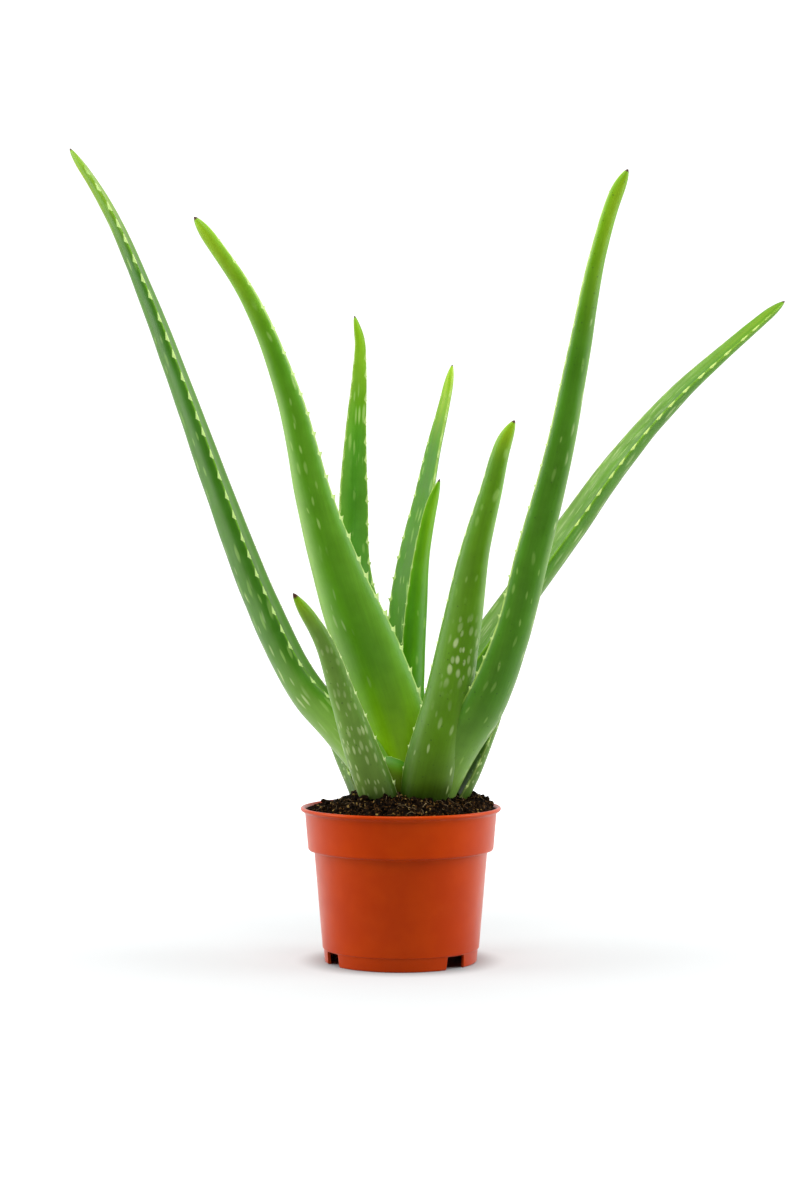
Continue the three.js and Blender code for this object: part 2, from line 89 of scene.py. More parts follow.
class Tree:
    """A node tree, with short calls for the nodes that it is built from."""

    def __init__(self, data):
        self.data = data

    def feed(self, node, sockets):
        """Links a node's sockets to other nodes' outputs, or sets them to plain values."""
        for name, value in sockets.items():
            if isinstance(value, bpy.types.NodeSocket):
                self.data.links.new(value, node.inputs[name])
            else:
                node.inputs[name].default_value = value

    def put(self, kind, sockets=None, **settings):
        """Adds a node, sets its options and feeds it."""
        node = self.data.nodes.new("ShaderNode" + kind)
        for name, value in settings.items():
            setattr(node, name, value)
        self.feed(node, sockets or {})
        return node

    def maths(self, operation, a, b=0.0):
        return self.put("Math", {0: a, 1: b}, operation=operation).outputs[0]

    def plus(self, a, b):
        return self.maths("ADD", a, b)

    def minus(self, a, b):
        return self.maths("SUBTRACT", a, b)

    def over(self, a, b):
        return self.maths("DIVIDE", a, b)

    def times(self, product, *factors):
        for factor in factors:
            product = self.maths("MULTIPLY", product, factor)
        return product

    def ease(self, value, low, high, start=0.0, end=1.0):
        """A smooth step of value from low to high, running from start to end."""
        sockets = {"Value": value, 1: low, 2: high, 3: start, 4: end}
        return self.put("MapRange", sockets, interpolation_type="SMOOTHSTEP").outputs[0]

    def fade(self, value, low, high):
        """A smooth step of value from 1 at low to 0 at high."""
        return self.ease(value, low, high, 1.0, 0.0)

    def blend(self, share, a, b, kind="MIX"):
        """Colour a, turned into colour b by share."""
        sockets = {0: share, 6: a, 7: b}
        return self.put("Mix", sockets, data_type="RGBA", blend_type=kind).outputs[2]

    def grain(self, vector, scale, detail=2.0, roughness=0.5, distortion=0.0):
        """Cloudy noise: the larger its scale the finer it is, with detail finer layers more."""
        sockets = {
            "Vector": vector,
            "Scale": scale,
            "Detail": detail,
            "Roughness": roughness,
            "Distortion": distortion,
        }
        return self.put("TexNoise", sockets).outputs[0]

    def swing(self, vector, scale, detail, roughness):
        """Cloudy noise that swings about 0."""
        return self.minus(self.grain(vector, scale, detail, roughness), 0.5)

    def split(self, vector):
        return self.put("SeparateXYZ", {0: vector}).outputs

    def place(self):
        """Where the shaded point is, in metres."""
        return self.put("TexCoord").outputs["Object"]

    def bump(self, height, distance, strength):
        sockets = {"Height": height, "Distance": distance, "Strength": strength}
        return self.put("Bump", sockets).outputs[0]


def new_group(name, inputs, output_kinds):
    """A shader node group, with (name, kind, default value) for each input."""
    data = bpy.data.node_groups.new(name, "ShaderNodeTree")
    for socket_name, kind, default in inputs:
        socket = data.interface.new_socket(socket_name, in_out="INPUT", socket_type=kind)
        socket.default_value = default
    for socket_name, kind in output_kinds.items():
        data.interface.new_socket(socket_name, in_out="OUTPUT", socket_type=kind)
    given, result = data.nodes.new("NodeGroupInput"), data.nodes.new("NodeGroupOutput")
    return Tree(data), given.outputs, result


def new_material(name):
    """A material with an empty tree but for its Principled shader, which is returned with it."""
    material = bpy.data.materials.new(name)
    material.use_nodes = True
    tree = Tree(material.node_tree)
    tree.data.nodes.clear()
    shader = tree.put("BsdfPrincipled")
    tree.put("OutputMaterial", {"Surface": shader.outputs[0]})
    return material, tree, shader


# ---- leaf finish ----

FLECK_SOCKETS = (
    "Cell Width", "Cell Length", "Fleck Size", "Share", "Seed",
    "From Height", "To Height", "Middle", "Reach",
)
# The side and foot tones carry painted sheen, light and shade as well as the leaf's colours.
TONE_SOCKETS = (
    "Left Tone", "Middle Tone", "Right Tone", "Face Tone", "Foot Tone", "Tip Tone",
    "Left Margin", "Right Margin",
)
NO_VECTOR = (0, 0, 0)
ANY_GREEN = (0.1, 0.3, 0.05, 1)
TOOTH_GREEN = (0.5, 0.7, 0.2, 1)
# Painted shade: the tint that darkens a band along each margin.
MARGIN_SHADE_TINT = (0.55, 0.85, 0.12, 1)
TIP_BROWN = (0.075, 0.022, 0.008, 1)
LEAF_IOR = 1.38
# Noise for fibres keeps its scale across the leaf and is drawn out along it.
FIBRE_STRETCH = (1.0, 0.035, 0.0)


def fleck_group():
    """Oval flecks, long in the leaf's length, in cells over the leaf's own plane."""
    inputs = [("Blade", VECTOR, NO_VECTOR)]
    inputs += [(name, FLOAT, 0) for name in ("Span", "Height", *FLECK_SOCKETS)]
    tree, take, result = new_group("aloe flecks", inputs, {"Mask": FLOAT})
    aside, along, _ = tree.split(take["Blade"])
    bent = tree.times(tree.grain(take["Blade"], 0.05, 1), 0.9)
    column = tree.plus(tree.plus(tree.over(aside, take["Cell Width"]), bent), take["Seed"])
    row = tree.over(along, take["Cell Length"])
    cells = tree.put("CombineXYZ", {0: column, 1: row}).outputs[0]
    voronoi = tree.put(
        "TexVoronoi",
        {"Vector": cells, "Scale": 1.0, "Randomness": 0.8},
        voronoi_dimensions="2D",
        feature="F1",
        distance="EUCLIDEAN",
    ).outputs
    luck = tree.put("SeparateColor", {0: voronoi["Color"]}).outputs
    size = tree.times(take["Fleck Size"], tree.ease(luck[1], 0, 1, 0.6, 1.3))
    spot = tree.fade(voronoi["Distance"], tree.times(size, 0.4), size)
    chosen = tree.maths("LESS_THAN", luck[0], take["Share"])
    strength = tree.ease(luck[2], 0, 1, 0.55, 1.0)
    above = tree.ease(take["Height"], take["From Height"], tree.plus(take["From Height"], 0.02))
    below = tree.fade(take["Height"], tree.minus(take["To Height"], 0.03), take["To Height"])
    off_middle = tree.maths("ABSOLUTE", tree.minus(take["Span"], take["Middle"]))
    within = tree.fade(off_middle, tree.minus(take["Reach"], 0.2), take["Reach"])
    mask = tree.times(tree.times(spot, chosen, strength), tree.times(above, below), within)
    tree.feed(result, {"Mask": mask})
    return tree.data


def skin_group():
    """The leaf's skin: tones over its width and length, fibres, margins, teeth and tip, with
    painted sheen, light and shade in its tones and a band of painted shade along each margin.
    """
    inputs = [(name, VECTOR, NO_VECTOR) for name in ("Position", "Blade", "Part")]
    inputs += [(name, COLOUR, ANY_GREEN) for name in TONE_SOCKETS]
    inputs += [
        ("Tooth Tone", COLOUR, TOOTH_GREEN),
        ("Tip Distance", FLOAT, 100),
        ("Left Reach", FLOAT, -0.1),
        ("Tip Reach", FLOAT, 90),
        ("Foot Top", FLOAT, 0.14),
        ("Fibre Strength", FLOAT, 0.22),
        ("Line Strength", FLOAT, 0.6),
        ("Line Width", FLOAT, 1.0),
        ("Band Strength", FLOAT, 0.5),
        ("Foot Shade", FLOAT, 0.5),
        ("Brown Tip", FLOAT, 1.6),
    ]
    output_kinds = {"Color": COLOUR, "Roughness": FLOAT, "Height": FLOAT}
    tree, take, result = new_group("aloe skin", inputs, output_kinds)
    position, blade = take["Position"], take["Blade"]
    tip_distance, brown_tip = take["Tip Distance"], take["Brown Tip"]
    edge = tree.split(blade)[2]
    span, face, dash = tree.split(take["Part"])
    height = tree.split(position)[2]

    # Broad tones, with wavering bounds. The side tones also hold painted sheen, where a side of
    # the leaf turns to a soft box.
    wander = tree.swing(position, 26, 3, 0.55)
    swung = tree.plus(span, tree.times(wander, 0.5))
    middle = tree.blend(tree.ease(face, 0.35, 0.65), take["Middle Tone"], take["Face Tone"])
    tone = tree.blend(tree.ease(swung, -0.95, take["Left Reach"]), take["Left Tone"], middle)
    tone = tree.blend(tree.ease(swung, 0.1, 0.9), tone, take["Right Tone"])
    # The foot tone is the leaf's base colour, with painted light through the pale bases and painted
    # shade by the soil on the dark ones.
    tone = tree.blend(tree.fade(height, 0.085, take["Foot Top"]), tone, take["Foot Tone"])
    tip_swung = tree.plus(tip_distance, tree.times(wander, 18))
    tone = tree.blend(tree.fade(tip_swung, 0, take["Tip Reach"]), tone, take["Tip Tone"])

    # Fibres and mottling lift or lower the tones, and painted shade darkens the foot just above the
    # soil.
    stretch = {0: blade, 1: FIBRE_STRETCH}
    stretched = tree.put("VectorMath", stretch, operation="MULTIPLY").outputs[0]
    fibre = tree.swing(stretched, 1.0, 2, 0.6)
    coarse = tree.swing(stretched, 0.3, 2, 0.5)
    mottle = tree.swing(position, 120, 3, 0.55)
    lift = tree.times(tree.plus(fibre, coarse), take["Fibre Strength"])
    lift = tree.plus(tree.plus(lift, tree.times(mottle, 0.28)), tree.times(wander, 0.45))
    # Painted shade: the tones darken low on the leaf, just above the soil, as far as Foot Shade
    # gives.
    painted_foot_shade = tree.plus(height, tree.times(wander, 0.012))
    painted_foot_shade = tree.times(tree.fade(painted_foot_shade, 0.093, 0.115), take["Foot Shade"])
    shade = {0: tone, 3: tree.plus(tree.minus(lift, painted_foot_shade), 1.0)}
    shades = tree.put("VectorMath", shade, operation="SCALE").outputs[0]

    # A band of painted shade and a pale line run along each margin, and the teeth are paler still.
    inward = tree.over(edge, tree.ease(tip_distance, 0, 70, 0.45, 1.0))
    # Painted shade in a band beside each margin, as strong as Band Strength.
    painted_margin_shade = tree.times(tree.ease(inward, 0.4, 1.6), tree.fade(inward, 2.5, 7), take["Band Strength"])
    shades = tree.blend(painted_margin_shade, shades, MARGIN_SHADE_TINT, "MULTIPLY")
    margin = tree.blend(tree.ease(span, -0.1, 0.1), take["Left Margin"], take["Right Margin"])
    uneven = tree.ease(tree.grain(blade, 0.14, 2), 0.35, 0.6, 0.5, 1.0)
    line = tree.fade(tree.over(inward, take["Line Width"]), 0.2, 0.85)
    shades = tree.blend(tree.times(line, take["Line Strength"], uneven), shades, margin)
    beyond = tree.minus(inward, tree.times(dash, 1.5))
    tooth = tree.times(tree.fade(beyond, -0.4, 0.1), tree.ease(dash, 0.03, 0.25))
    tooth = tree.times(tooth, tree.ease(tip_distance, 8, 30))
    shades = tree.blend(tooth, shades, take["Tooth Tone"])

    frayed = tree.plus(tip_distance, tree.times(mottle, 1.5))
    brown = tree.fade(frayed, brown_tip, tree.times(brown_tip, 2.0))
    sheen = tree.plus(mottle, tree.times(fibre, 0.5))
    tree.feed(result, {
        "Color": tree.blend(brown, shades, TIP_BROWN),
        "Roughness": tree.ease(sheen, -0.3, 0.3, 0.33, 0.46),
        "Height": tree.plus(tree.times(fibre, 0.5), tree.times(mottle, 0.6)),
    })
    return tree.data


SKIN = skin_group()
FLECKS = fleck_group()


def leaf_material(name, skin, fleck_sets):
    """One leaf's finish: its skin with its own tones, and sets of flecks over it."""
    material, tree, shader = new_material(name)
    position = tree.place()
    blade = tree.put("Attribute", attribute_name="blade").outputs["Vector"]
    part = tree.put("Attribute", attribute_name="part").outputs["Vector"]
    tip = tree.put("Attribute", attribute_name="tip").outputs["Fac"]
    places = {"Position": position, "Blade": blade, "Part": part, "Tip Distance": tip}
    surface = tree.put("Group", {**places, **skin}, node_tree=SKIN).outputs
    colour, relief = surface["Color"], surface["Height"]
    spans = {"Blade": blade, "Span": tree.split(part)[0], "Height": tree.split(position)[2]}
    for sockets, tone, strength in fleck_sets:
        spots = tree.put("Group", {**spans, **sockets}, node_tree=FLECKS).outputs["Mask"]
        colour = tree.blend(tree.times(spots, strength), colour, tone)
        relief = tree.plus(relief, tree.times(spots, 0.3))
    tree.feed(shader, {
        "Base Color": colour,
        "Roughness": surface["Roughness"],
        "Normal": tree.bump(relief, 0.0003, 0.25),
        "IOR": LEAF_IOR,
    })
    return material


# ---- leaf forms ----

# A leaf is a path with a section at each point of it: half its width along the curved section,
# its thickness in the middle, the angle that half the section is rolled through, and the azimuth
# that its back faces. Teeth stand on both margins above toothed_from, and grow to the sizes given
# for the margin on the clockwise and on the anticlockwise side, seen from above. Dashes are the
# strength of the pale dashes that the teeth grow from, where it differs from the teeth's size.

# What the two small old leaves share.
SMALL_LEAF = {
    "half_width": [10, 12, 10.5, 9, 6.5, 4],
    "thickness": [8, 8, 7.5, 6.5, 5.5, 4.5],
    "wrap": [70, 58, 54, 50, 45, 40],
    "teeth": (0.8, 0.8),
    "toothed_from": 104,
}

LEAVES = {
    "leaf_left_long": {
        "path": [(-13, 4, 78), (-26, 5, 115), (-40, 10, 133), (-59, 17, 155), (-90, 30, 216),
                 (-113, 38, 277), (-135, 46, 339), (-158, 54, 401), (-186, 62, 464),
                 (-206, 66, 496)],
        "half_width": [20, 33, 28.5, 25, 21, 18.2, 15.6, 12.4, 8.2, 4.4],
        "thickness": [9, 10, 11, 11.5, 11.5, 10.5, 9.5, 7.5, 6, 5],
        "wrap": [90, 98, 86, 78, 72, 68, 62, 56, 50, 45],
        "facing": [175, 173, 170, 169.5, 170.5, 172, 173, 172.5, 171, 170],
        "teeth": (0.25, 0.3),
        "dashes": (0.3, 1.0),
        "toothed_from": 125,
    },
    "leaf_broad": {
        "path": [(-2, -7, 88), (-8, -12, 133), (-23, -22, 181), (-37, -32, 223), (-52, -42, 275),
                 (-65, -52, 332), (-87, -60, 389), (-118, -64, 436)],
        "half_width": [17, 26, 25.5, 19.3, 13.2, 8.9, 5.8, 4],
        "thickness": [9, 10, 11, 10, 9, 7.5, 6, 5],
        "wrap": [75, 60, 58, 54, 50, 46, 43, 40],
        "facing": [238, 240, 242, 245, 245, 242, 240, 240],
        "teeth": (0.5, 1.35),
        "toothed_from": 120,
    },
    "leaf_front_left_short": {
        "path": [(-5, -13, 68), (-16, -24, 102), (-25, -30, 129), (-34, -38, 158), (-46, -48, 194),
                 (-62, -56, 221)],
        "half_width": [11, 14, 12.3, 9.2, 5.9, 3.2],
        "thickness": [8, 8, 8, 7.5, 6.0, 4.5],
        "wrap": [70, 55, 52, 48, 44, 40],
        "facing": [243, 245, 248, 250, 250, 250],
        "teeth": (0.35, 0.9),
        "toothed_from": 104,
    },
    "leaf_back_left": {
        "path": [(0, 17, 84), (-4, 22, 155), (-18, 36, 191), (-29, 50, 234), (-30, 60, 277),
                 (-28.4, 68, 321), (-26, 73.5, 359), (-25.7, 75.2, 376), (-29, 76, 393)],
        "half_width": [14, 15, 12, 10.8, 9.9, 7, 4.6, 3.4, 2.3],
        "thickness": [9, 9, 8, 7.5, 7, 5.5, 4.5, 4, 3.5],
        "wrap": [75, 55, 50, 48, 45, 42, 40, 38, 35],
        "facing": [108, 110, 108, 105, 103, 102, 100, 100, 100],
        "teeth": (0.9, 0.5),
        "toothed_from": 130,
    },
    "leaf_back_right": {
        "path": [(10, 13, 90), (6, 20, 155), (4, 30, 216), (8, 36, 246), (15, 42, 277),
                 (21, 48, 308), (28, 54, 339), (32, 58, 361)],
        "half_width": [12, 14, 11, 9, 7.9, 6.2, 4.4, 3],
        "thickness": [8, 8.5, 8, 7, 6, 5, 4.5, 4],
        "wrap": [75, 55, 50, 48, 45, 42, 40, 35],
        "facing": [65, 60, 55, 52, 50, 48, 46, 46],
        "teeth": (0.5, 0.9),
        "toothed_from": 130,
    },
    "leaf_front_right": {
        "path": [(9, -14, 68), (18, -28, 111), (29, -36, 158), (37, -44, 203), (44, -51, 246),
                 (52, -57, 278), (60, -62, 309), (65, -64, 320)],
        "half_width": [12, 18.5, 16.3, 13.4, 9.7, 7.2, 5, 4],
        "thickness": [8, 10, 10, 9, 8, 7, 6, 5],
        "wrap": [75, 56, 54, 50, 46, 43, 40, 35],
        "facing": [285, 285, 286, 288, 290, 290, 290, 290],
        "teeth": (0.8, 0.8),
        "toothed_from": 102,
    },
    "leaf_young": {
        "path": [(5, 1, 94), (7, -2, 136), (9, -4, 168), (11, -7, 210), (14, -10, 246),
                 (19, -12, 273), (23, -14, 288)],
        "half_width": [8, 11, 11, 9.4, 6.6, 4.6, 2.8],
        "thickness": [7, 7, 6.5, 6, 5, 4, 3.5],
        "wrap": [55, 58, 55, 52, 48, 45, 40],
        "facing": [318, 318, 318, 318, 318, 318, 318],
        "teeth": (0.7, 0.5),
        "toothed_from": 130,
    },
    "leaf_right_long": {
        "path": [(16, -9, 76), (32, -20, 117), (54, -35, 158), (66, -49, 194), (78, -65, 246),
                 (91, -79, 302), (101, -90, 358), (111, -98, 413), (120, -102, 444),
                 (126, -104, 457)],
        "half_width": [14, 18, 17.2, 14, 12.1, 9.6, 7.5, 5.2, 4.3, 4],
        "thickness": [9, 10, 10, 9.5, 9, 8, 7, 6, 5.5, 5],
        "wrap": [80, 62, 52, 48, 46, 45, 44, 42, 40, 35],
        "facing": [318, 315, 310, 306, 301, 298, 296, 296, 296, 296],
        "teeth": (0.75, 0.35),
        "toothed_from": 112,
    },
    "leaf_right_arching": {
        "path": [(18, 7, 76), (21, 14, 127), (44, 30, 169), (77, 46, 215), (109, 60, 259),
                 (141, 73, 303), (175, 86, 342), (213, 97, 377), (245, 104, 405)],
        "half_width": [14, 17, 18.5, 18.5, 16, 13.5, 10.8, 7.5, 4.5],
        "thickness": [9, 10, 10.5, 10.5, 10, 9, 7.5, 5.5, 4.5],
        "wrap": [80, 70, 68, 66, 62, 58, 52, 45, 40],
        "facing": [20, 22, 25, 25, 25, 25, 25, 25, 25],
        "teeth": (0.45, 0.3),
        "dashes": (0.7, 0.4),
        "toothed_from": 250,
    },
    "leaf_right_small": {
        "path": [(19, 5, 64), (37, 0, 101), (44, -2, 116), (51, -3, 133), (57, -3, 149),
                 (61, -2, 164)],
        "facing": [15, 20, 25, 30, 34, 34],
        **SMALL_LEAF,
    },
    "leaf_left_small": {
        "path": [(-12, 13, 64), (-27, 22, 100), (-34, 29, 115), (-41, 36, 131), (-47, 41, 147),
                 (-51, 44, 159)],
        "facing": [150, 150, 150, 150, 150, 150],
        **SMALL_LEAF,
    },
}

SECTION_STEPS = 20
TRACK_POINTS = 1601
TANGENT_REACH = 0.004
ROW_SPACING = 2.5
CLOSEST_ROWS = 0.14
TIP_ROWS = (12, 9, 6, 4, 2.6, 1.5, 0.8, 0.3)
ROUND_TIP = 16
TIP_ROUNDNESS = 0.6
SMALLEST_TAPER = 0.08
RIM_HALF_THICKNESS = 0.4
SECTION_FLATNESS = 2.2
SECTION_ROUNDING = 0.8
# The width wavers along the leaf, and both sides are a little uneven.
WAVER_LENGTH = 34
WAVER_SHARE = 0.02
UNEVEN_HEIGHT = 0.4
UNEVEN_WIDTH = 9
UNEVEN_LENGTH = 26
NEXT_SEED = 37.0
TOOTH_SPACING = 13
TOOTH_SPACING_VARIES = 2.5
TOOTHLESS_TIP = 12
TOOTH_SIZES = (0.75, 1.1)
TOOTH_HEIGHT = 1.7
TOOTH_FOOT_SIDE = 2.6
TOOTH_TIP_SIDE = 1.2
TOOTH_LEAN = 1.0
TOOTH_HOLLOW = 1.35
TOOTH_ROWS = (-4.2, -3.3, -2.6, -1.9, -1.3, -0.9, -0.6, -0.3, 0, 0.3, 0.6, 0.9, 1.2, 1.8)
# How far the points on the rim, and the next two beside it, follow a tooth.
TOOTH_SHARES = (1.0, 0.5, 0.1)
SMALLEST_TOOTH = 0.3
# Teeth grow from the smallest to the full size between these shares of the leaf, from its tip.
TOOTH_GROWTH = (0.15, 0.65)
DASH_FOOT_SIDE = 2.6
DASH_TIP_SIDE = 5.4


def smooth_step(value, low, high):
    share = min(max((value - low) / (high - low), 0), 1)
    return share * share * (3 - 2 * share)


def reach_of(points):
    """How far each point comes along the line through them all."""
    steps = np.linalg.norm(np.diff(np.asarray(points, float), axis=0), axis=1)
    return np.concatenate([[0], np.cumsum(steps)])


def along_path(values, knots, t):
    """A smooth curve through values, which stand at the knots, at each t from 0 to 1."""
    values = np.asarray(values, float)
    gaps = np.diff(knots).reshape((-1,) + (1,) * (values.ndim - 1))
    slopes = np.diff(values, axis=0) / gaps
    inner = (gaps[1:] * slopes[:-1] + gaps[:-1] * slopes[1:]) / (gaps[1:] + gaps[:-1])
    slopes = np.concatenate([slopes[:1], inner, slopes[-1:]])
    i = np.clip(np.searchsorted(knots, t, side="right") - 1, 0, len(gaps) - 1)
    gap = gaps[i]
    w = (t - knots[i]).reshape(t.shape + (1,) * (values.ndim - 1)) / gap
    start, end = values[i], values[i + 1]
    leave, arrive = slopes[i] * gap, slopes[i + 1] * gap
    cubic = 2 * start - 2 * end + leave + arrive
    square = -3 * start + 3 * end - 2 * leave - arrive
    return ((cubic * w + square) * w + leave) * w + start


def unit(vectors):
    return vectors / np.linalg.norm(vectors, axis=-1, keepdims=True)


def tooth_places(total, start, largest, rng):
    """Distances from the foot at which one margin's teeth stand, with each tooth's size."""
    places = []
    small_until, large_from = (share * total for share in TOOTH_GROWTH)
    distance = total - TOOTHLESS_TIP - rng.uniform(0, TOOTH_SPACING)
    while distance > start:
        grown = smooth_step(total - distance, small_until, large_from)
        share = SMALLEST_TOOTH + (1 - SMALLEST_TOOTH) * grown
        places.append((distance, largest * share * rng.uniform(*TOOTH_SIZES)))
        distance -= TOOTH_SPACING + rng.uniform(-TOOTH_SPACING_VARIES, TOOTH_SPACING_VARIES)
    return places


def nearness(x, foot_side, tip_side):
    """1 where x is 0, falling to 0 at foot_side below it and at tip_side above it."""
    return np.clip(1 - np.where(x < 0, -x / foot_side, x / tip_side), 0, 1)


def tooth_profile(distances, places):
    """How far each row stands on a tooth, from 0 beside it to the tooth's size at its point."""
    profile = np.zeros(len(distances))
    for middle, size in places:
        near = nearness((distances - middle) / size, TOOTH_FOOT_SIDE, TOOTH_TIP_SIDE)
        profile = np.maximum(profile, size * near**TOOTH_HOLLOW)
    return profile


def dash_profile(distances, places, strength):
    """How near each row is to a tooth, for the pale dash that the tooth grows from."""
    profile = np.zeros(len(distances))
    for middle, _ in places:
        near = nearness(distances - middle, DASH_FOOT_SIDE, DASH_TIP_SIDE)
        profile = np.maximum(profile, strength * near)
    return profile


def ripple(point, seed):
    return noise.noise(Vector(point) + Vector((0, 0, NEXT_SEED * seed)))


def row_distances(total, tooth_middles):
    """Distances of the rows from the foot: even ones, and closer ones at the teeth and the tip."""
    rows = list(np.linspace(0, total, int(total / ROW_SPACING)))
    rows += [total - left for left in TIP_ROWS]
    rows += [middle + step for middle in tooth_middles for step in TOOTH_ROWS]
    spaced = []
    for row in sorted(row for row in rows if 0 <= row <= total):
        if not spaced or row - spaced[-1] > CLOSEST_ROWS:
            spaced.append(row)
    return np.array(spaced)


def leaf_surface(leaf, seed):
    """The leaf's rows of section points in millimetres from the pot's axis, with each point's
    place on the blade, its part of the leaf, and its distance from the tip."""
    rng = random.Random(seed)
    fine = np.linspace(0, 1, TRACK_POINTS)
    knots = reach_of(leaf["path"])
    knots = knots / knots[-1]
    track = along_path(leaf["path"], knots, fine)
    reach = reach_of(track)
    total = reach[-1]
    start = np.interp(leaf["toothed_from"], track[:, 2], reach)
    margins = [tooth_places(total, start, largest, rng) for largest in leaf["teeth"]]
    distance = row_distances(total, [middle for side in margins for middle, _ in side])
    t = np.interp(distance, reach, fine)

    middle = along_path(leaf["path"], knots, t)
    ahead = along_path(leaf["path"], knots, np.minimum(t + TANGENT_REACH, 1))
    behind = along_path(leaf["path"], knots, np.maximum(t - TANGENT_REACH, 0))
    along = unit(ahead - behind)
    azimuth = np.radians(along_path(leaf["facing"], knots, t))
    back = np.stack([np.cos(azimuth), np.sin(azimuth), 0 * azimuth], axis=1)
    back = unit(back - along * np.sum(back * along, axis=1, keepdims=True))
    side = np.cross(along, back)

    left = total - distance
    taper = (1 - np.clip((ROUND_TIP - left) / ROUND_TIP, 0, 1) ** 2) ** TIP_ROUNDNESS
    taper = np.maximum(taper, SMALLEST_TAPER)
    waver = np.array([ripple((d / WAVER_LENGTH, 0, 0), seed) for d in distance])
    width = along_path(leaf["half_width"], knots, t) * taper * (1 + WAVER_SHARE * waver)
    thickness = along_path(leaf["thickness"], knots, t) * taper
    wrap = np.radians(along_path(leaf["wrap"], knots, t))
    radius = width / wrap

    # A section runs from one rim over the back to the other rim, and returns over the face.
    turns = np.arange(2 * SECTION_STEPS + 1)
    on_back = turns <= SECTION_STEPS
    ramp = np.where(on_back, turns, 2 * SECTION_STEPS - turns)
    u = -np.cos(ramp * math.pi / SECTION_STEPS)
    from_rim = np.minimum(ramp, SECTION_STEPS - ramp)
    facing = np.where(from_rim == 0, 0.5, np.where(on_back, 0.0, 1.0))
    sign = np.where(from_rim == 0, 0, np.where(on_back, 1, -1))

    angle = wrap[:, None] * u[None, :]
    round_off = np.clip(1 - np.abs(u) ** SECTION_FLATNESS, 0, 1) ** SECTION_ROUNDING
    rim = RIM_HALF_THICKNESS * taper[:, None]
    half = np.maximum(thickness[:, None] / 2 * round_off[None, :], rim)
    uneven = np.array([
        [
            ripple((w * across / UNEVEN_WIDTH, d / UNEVEN_LENGTH, k // SECTION_STEPS * 5), seed)
            for k, w in enumerate(u)
        ]
        for across, d in zip(width, distance)
    ])
    lift = sign[None, :] * half + UNEVEN_HEIGHT * uneven * round_off[None, :] * taper[:, None]
    sideways = (radius[:, None] + lift) * np.sin(angle)
    backwards = (radius[:, None] + lift) * np.cos(angle) - radius[:, None]
    points = middle[:, None, :] + side[:, None, :] * sideways[:, :, None]
    points = points + back[:, None, :] * backwards[:, :, None]

    near_rim = np.zeros(len(u))
    for steps_in, share in enumerate(TOOTH_SHARES):
        near_rim[from_rim == steps_in] = share
    dash = np.zeros(points.shape[:2])
    strengths = leaf.get("dashes", leaf["teeth"])
    for margin, places, strength in zip((-1, 1), margins, strengths):
        outward = margin * side * np.cos(wrap)[:, None] - back * np.sin(wrap)[:, None]
        this_side = np.where(u * margin > 0, 1.0, 0.0)[None, :]
        height = tooth_profile(distance, places)[:, None] * (near_rim * this_side)
        points += outward[:, None, :] * (TOOTH_HEIGHT * height)[:, :, None]
        points += along[:, None, :] * (TOOTH_LEAN * height**2)[:, :, None]
        dash += dash_profile(distance, places, strength)[:, None] * this_side
    edge = width[:, None] * (1 - np.abs(u))[None, :]
    distances = np.repeat(distance[:, None], len(u), 1)
    blade = np.stack([width[:, None] * u[None, :], distances, edge], axis=2)
    spans, facings = (np.repeat(row[None, :], len(t), 0) for row in (u, facing))
    part = np.stack([spans, facings, dash], axis=2)
    return points, blade, part, np.repeat(left[:, None], len(u), 1)


def add_primitive(name, operator, **settings):
    """Adds a primitive with nothing else selected, and names it."""
    bpy.ops.object.select_all(action="DESELECT")
    operator(**settings)
    piece = bpy.context.object
    piece.name = name
    piece.data.name = name
    return piece


def face_outwards():
    """Turns every face of the piece in edit mode outwards, and leaves edit mode."""
    bpy.ops.mesh.select_all(action="SELECT")
    bpy.ops.mesh.normals_make_consistent(inside=False)
    bpy.ops.object.mode_set(mode="OBJECT")


def add_leaf(name, leaf, seed, skin, fleck_sets):
    """A grid laid over the leaf's surface, closed along one margin and at both ends."""
    points, blade, part, left = leaf_surface(leaf, seed)
    rows, columns = points.shape[:2]
    grid = {"x_subdivisions": columns - 1, "y_subdivisions": rows - 1, "size": 1}
    piece = add_primitive(name + "_skin", bpy.ops.mesh.primitive_grid_add, **grid)
    mesh = piece.data
    place = points.reshape(-1, 3) * MM + np.array([POT_X, POT_Y, 0])
    mesh.vertices.foreach_set("co", place.ravel())
    for label, kind, field, values in (
        ("blade", "FLOAT_VECTOR", "vector", blade),
        ("part", "FLOAT_VECTOR", "vector", part),
        ("tip", "FLOAT", "value", left),
    ):
        attribute = mesh.attributes.new(label, kind, "POINT")
        attribute.data.foreach_set(field, values.astype(np.float32).ravel())
    bpy.ops.object.mode_set(mode="EDIT")
    bpy.ops.mesh.select_all(action="SELECT")
    bpy.ops.mesh.remove_doubles(threshold=1e-6)
    bpy.ops.mesh.fill_holes(sides=0)
    face_outwards()
    bpy.ops.object.location_clear()
    bpy.ops.object.shade_smooth()
    mesh.materials.append(leaf_material(piece.name, skin, fleck_sets))
    return piece


# ---- leaf colours ----

PALE_FLECK = (0.52, 0.68, 0.28, 1)
GREEN_FLECK = (0.34, 0.58, 0.12, 1)
DARK_FLECK = (0.02, 0.05, 0.008, 1)


def tones(*colours, **more):
    """A skin's colours, on the left, middle and right of the leaf's back, on its hollow face, at
    its foot and at its tip, then on its left and right margins, and the rest by name. The side
    colours hold painted sheen as well, and the foot colour holds painted light through the pale
    bases and painted shade by the soil on the dark ones."""
    sockets = dict(zip(TONE_SOCKETS, colours))
    sockets.update((name.replace("_", " "), value) for name, value in more.items())
    return {
        name: (*value, 1) if isinstance(value, tuple) else value for name, value in sockets.items()
    }


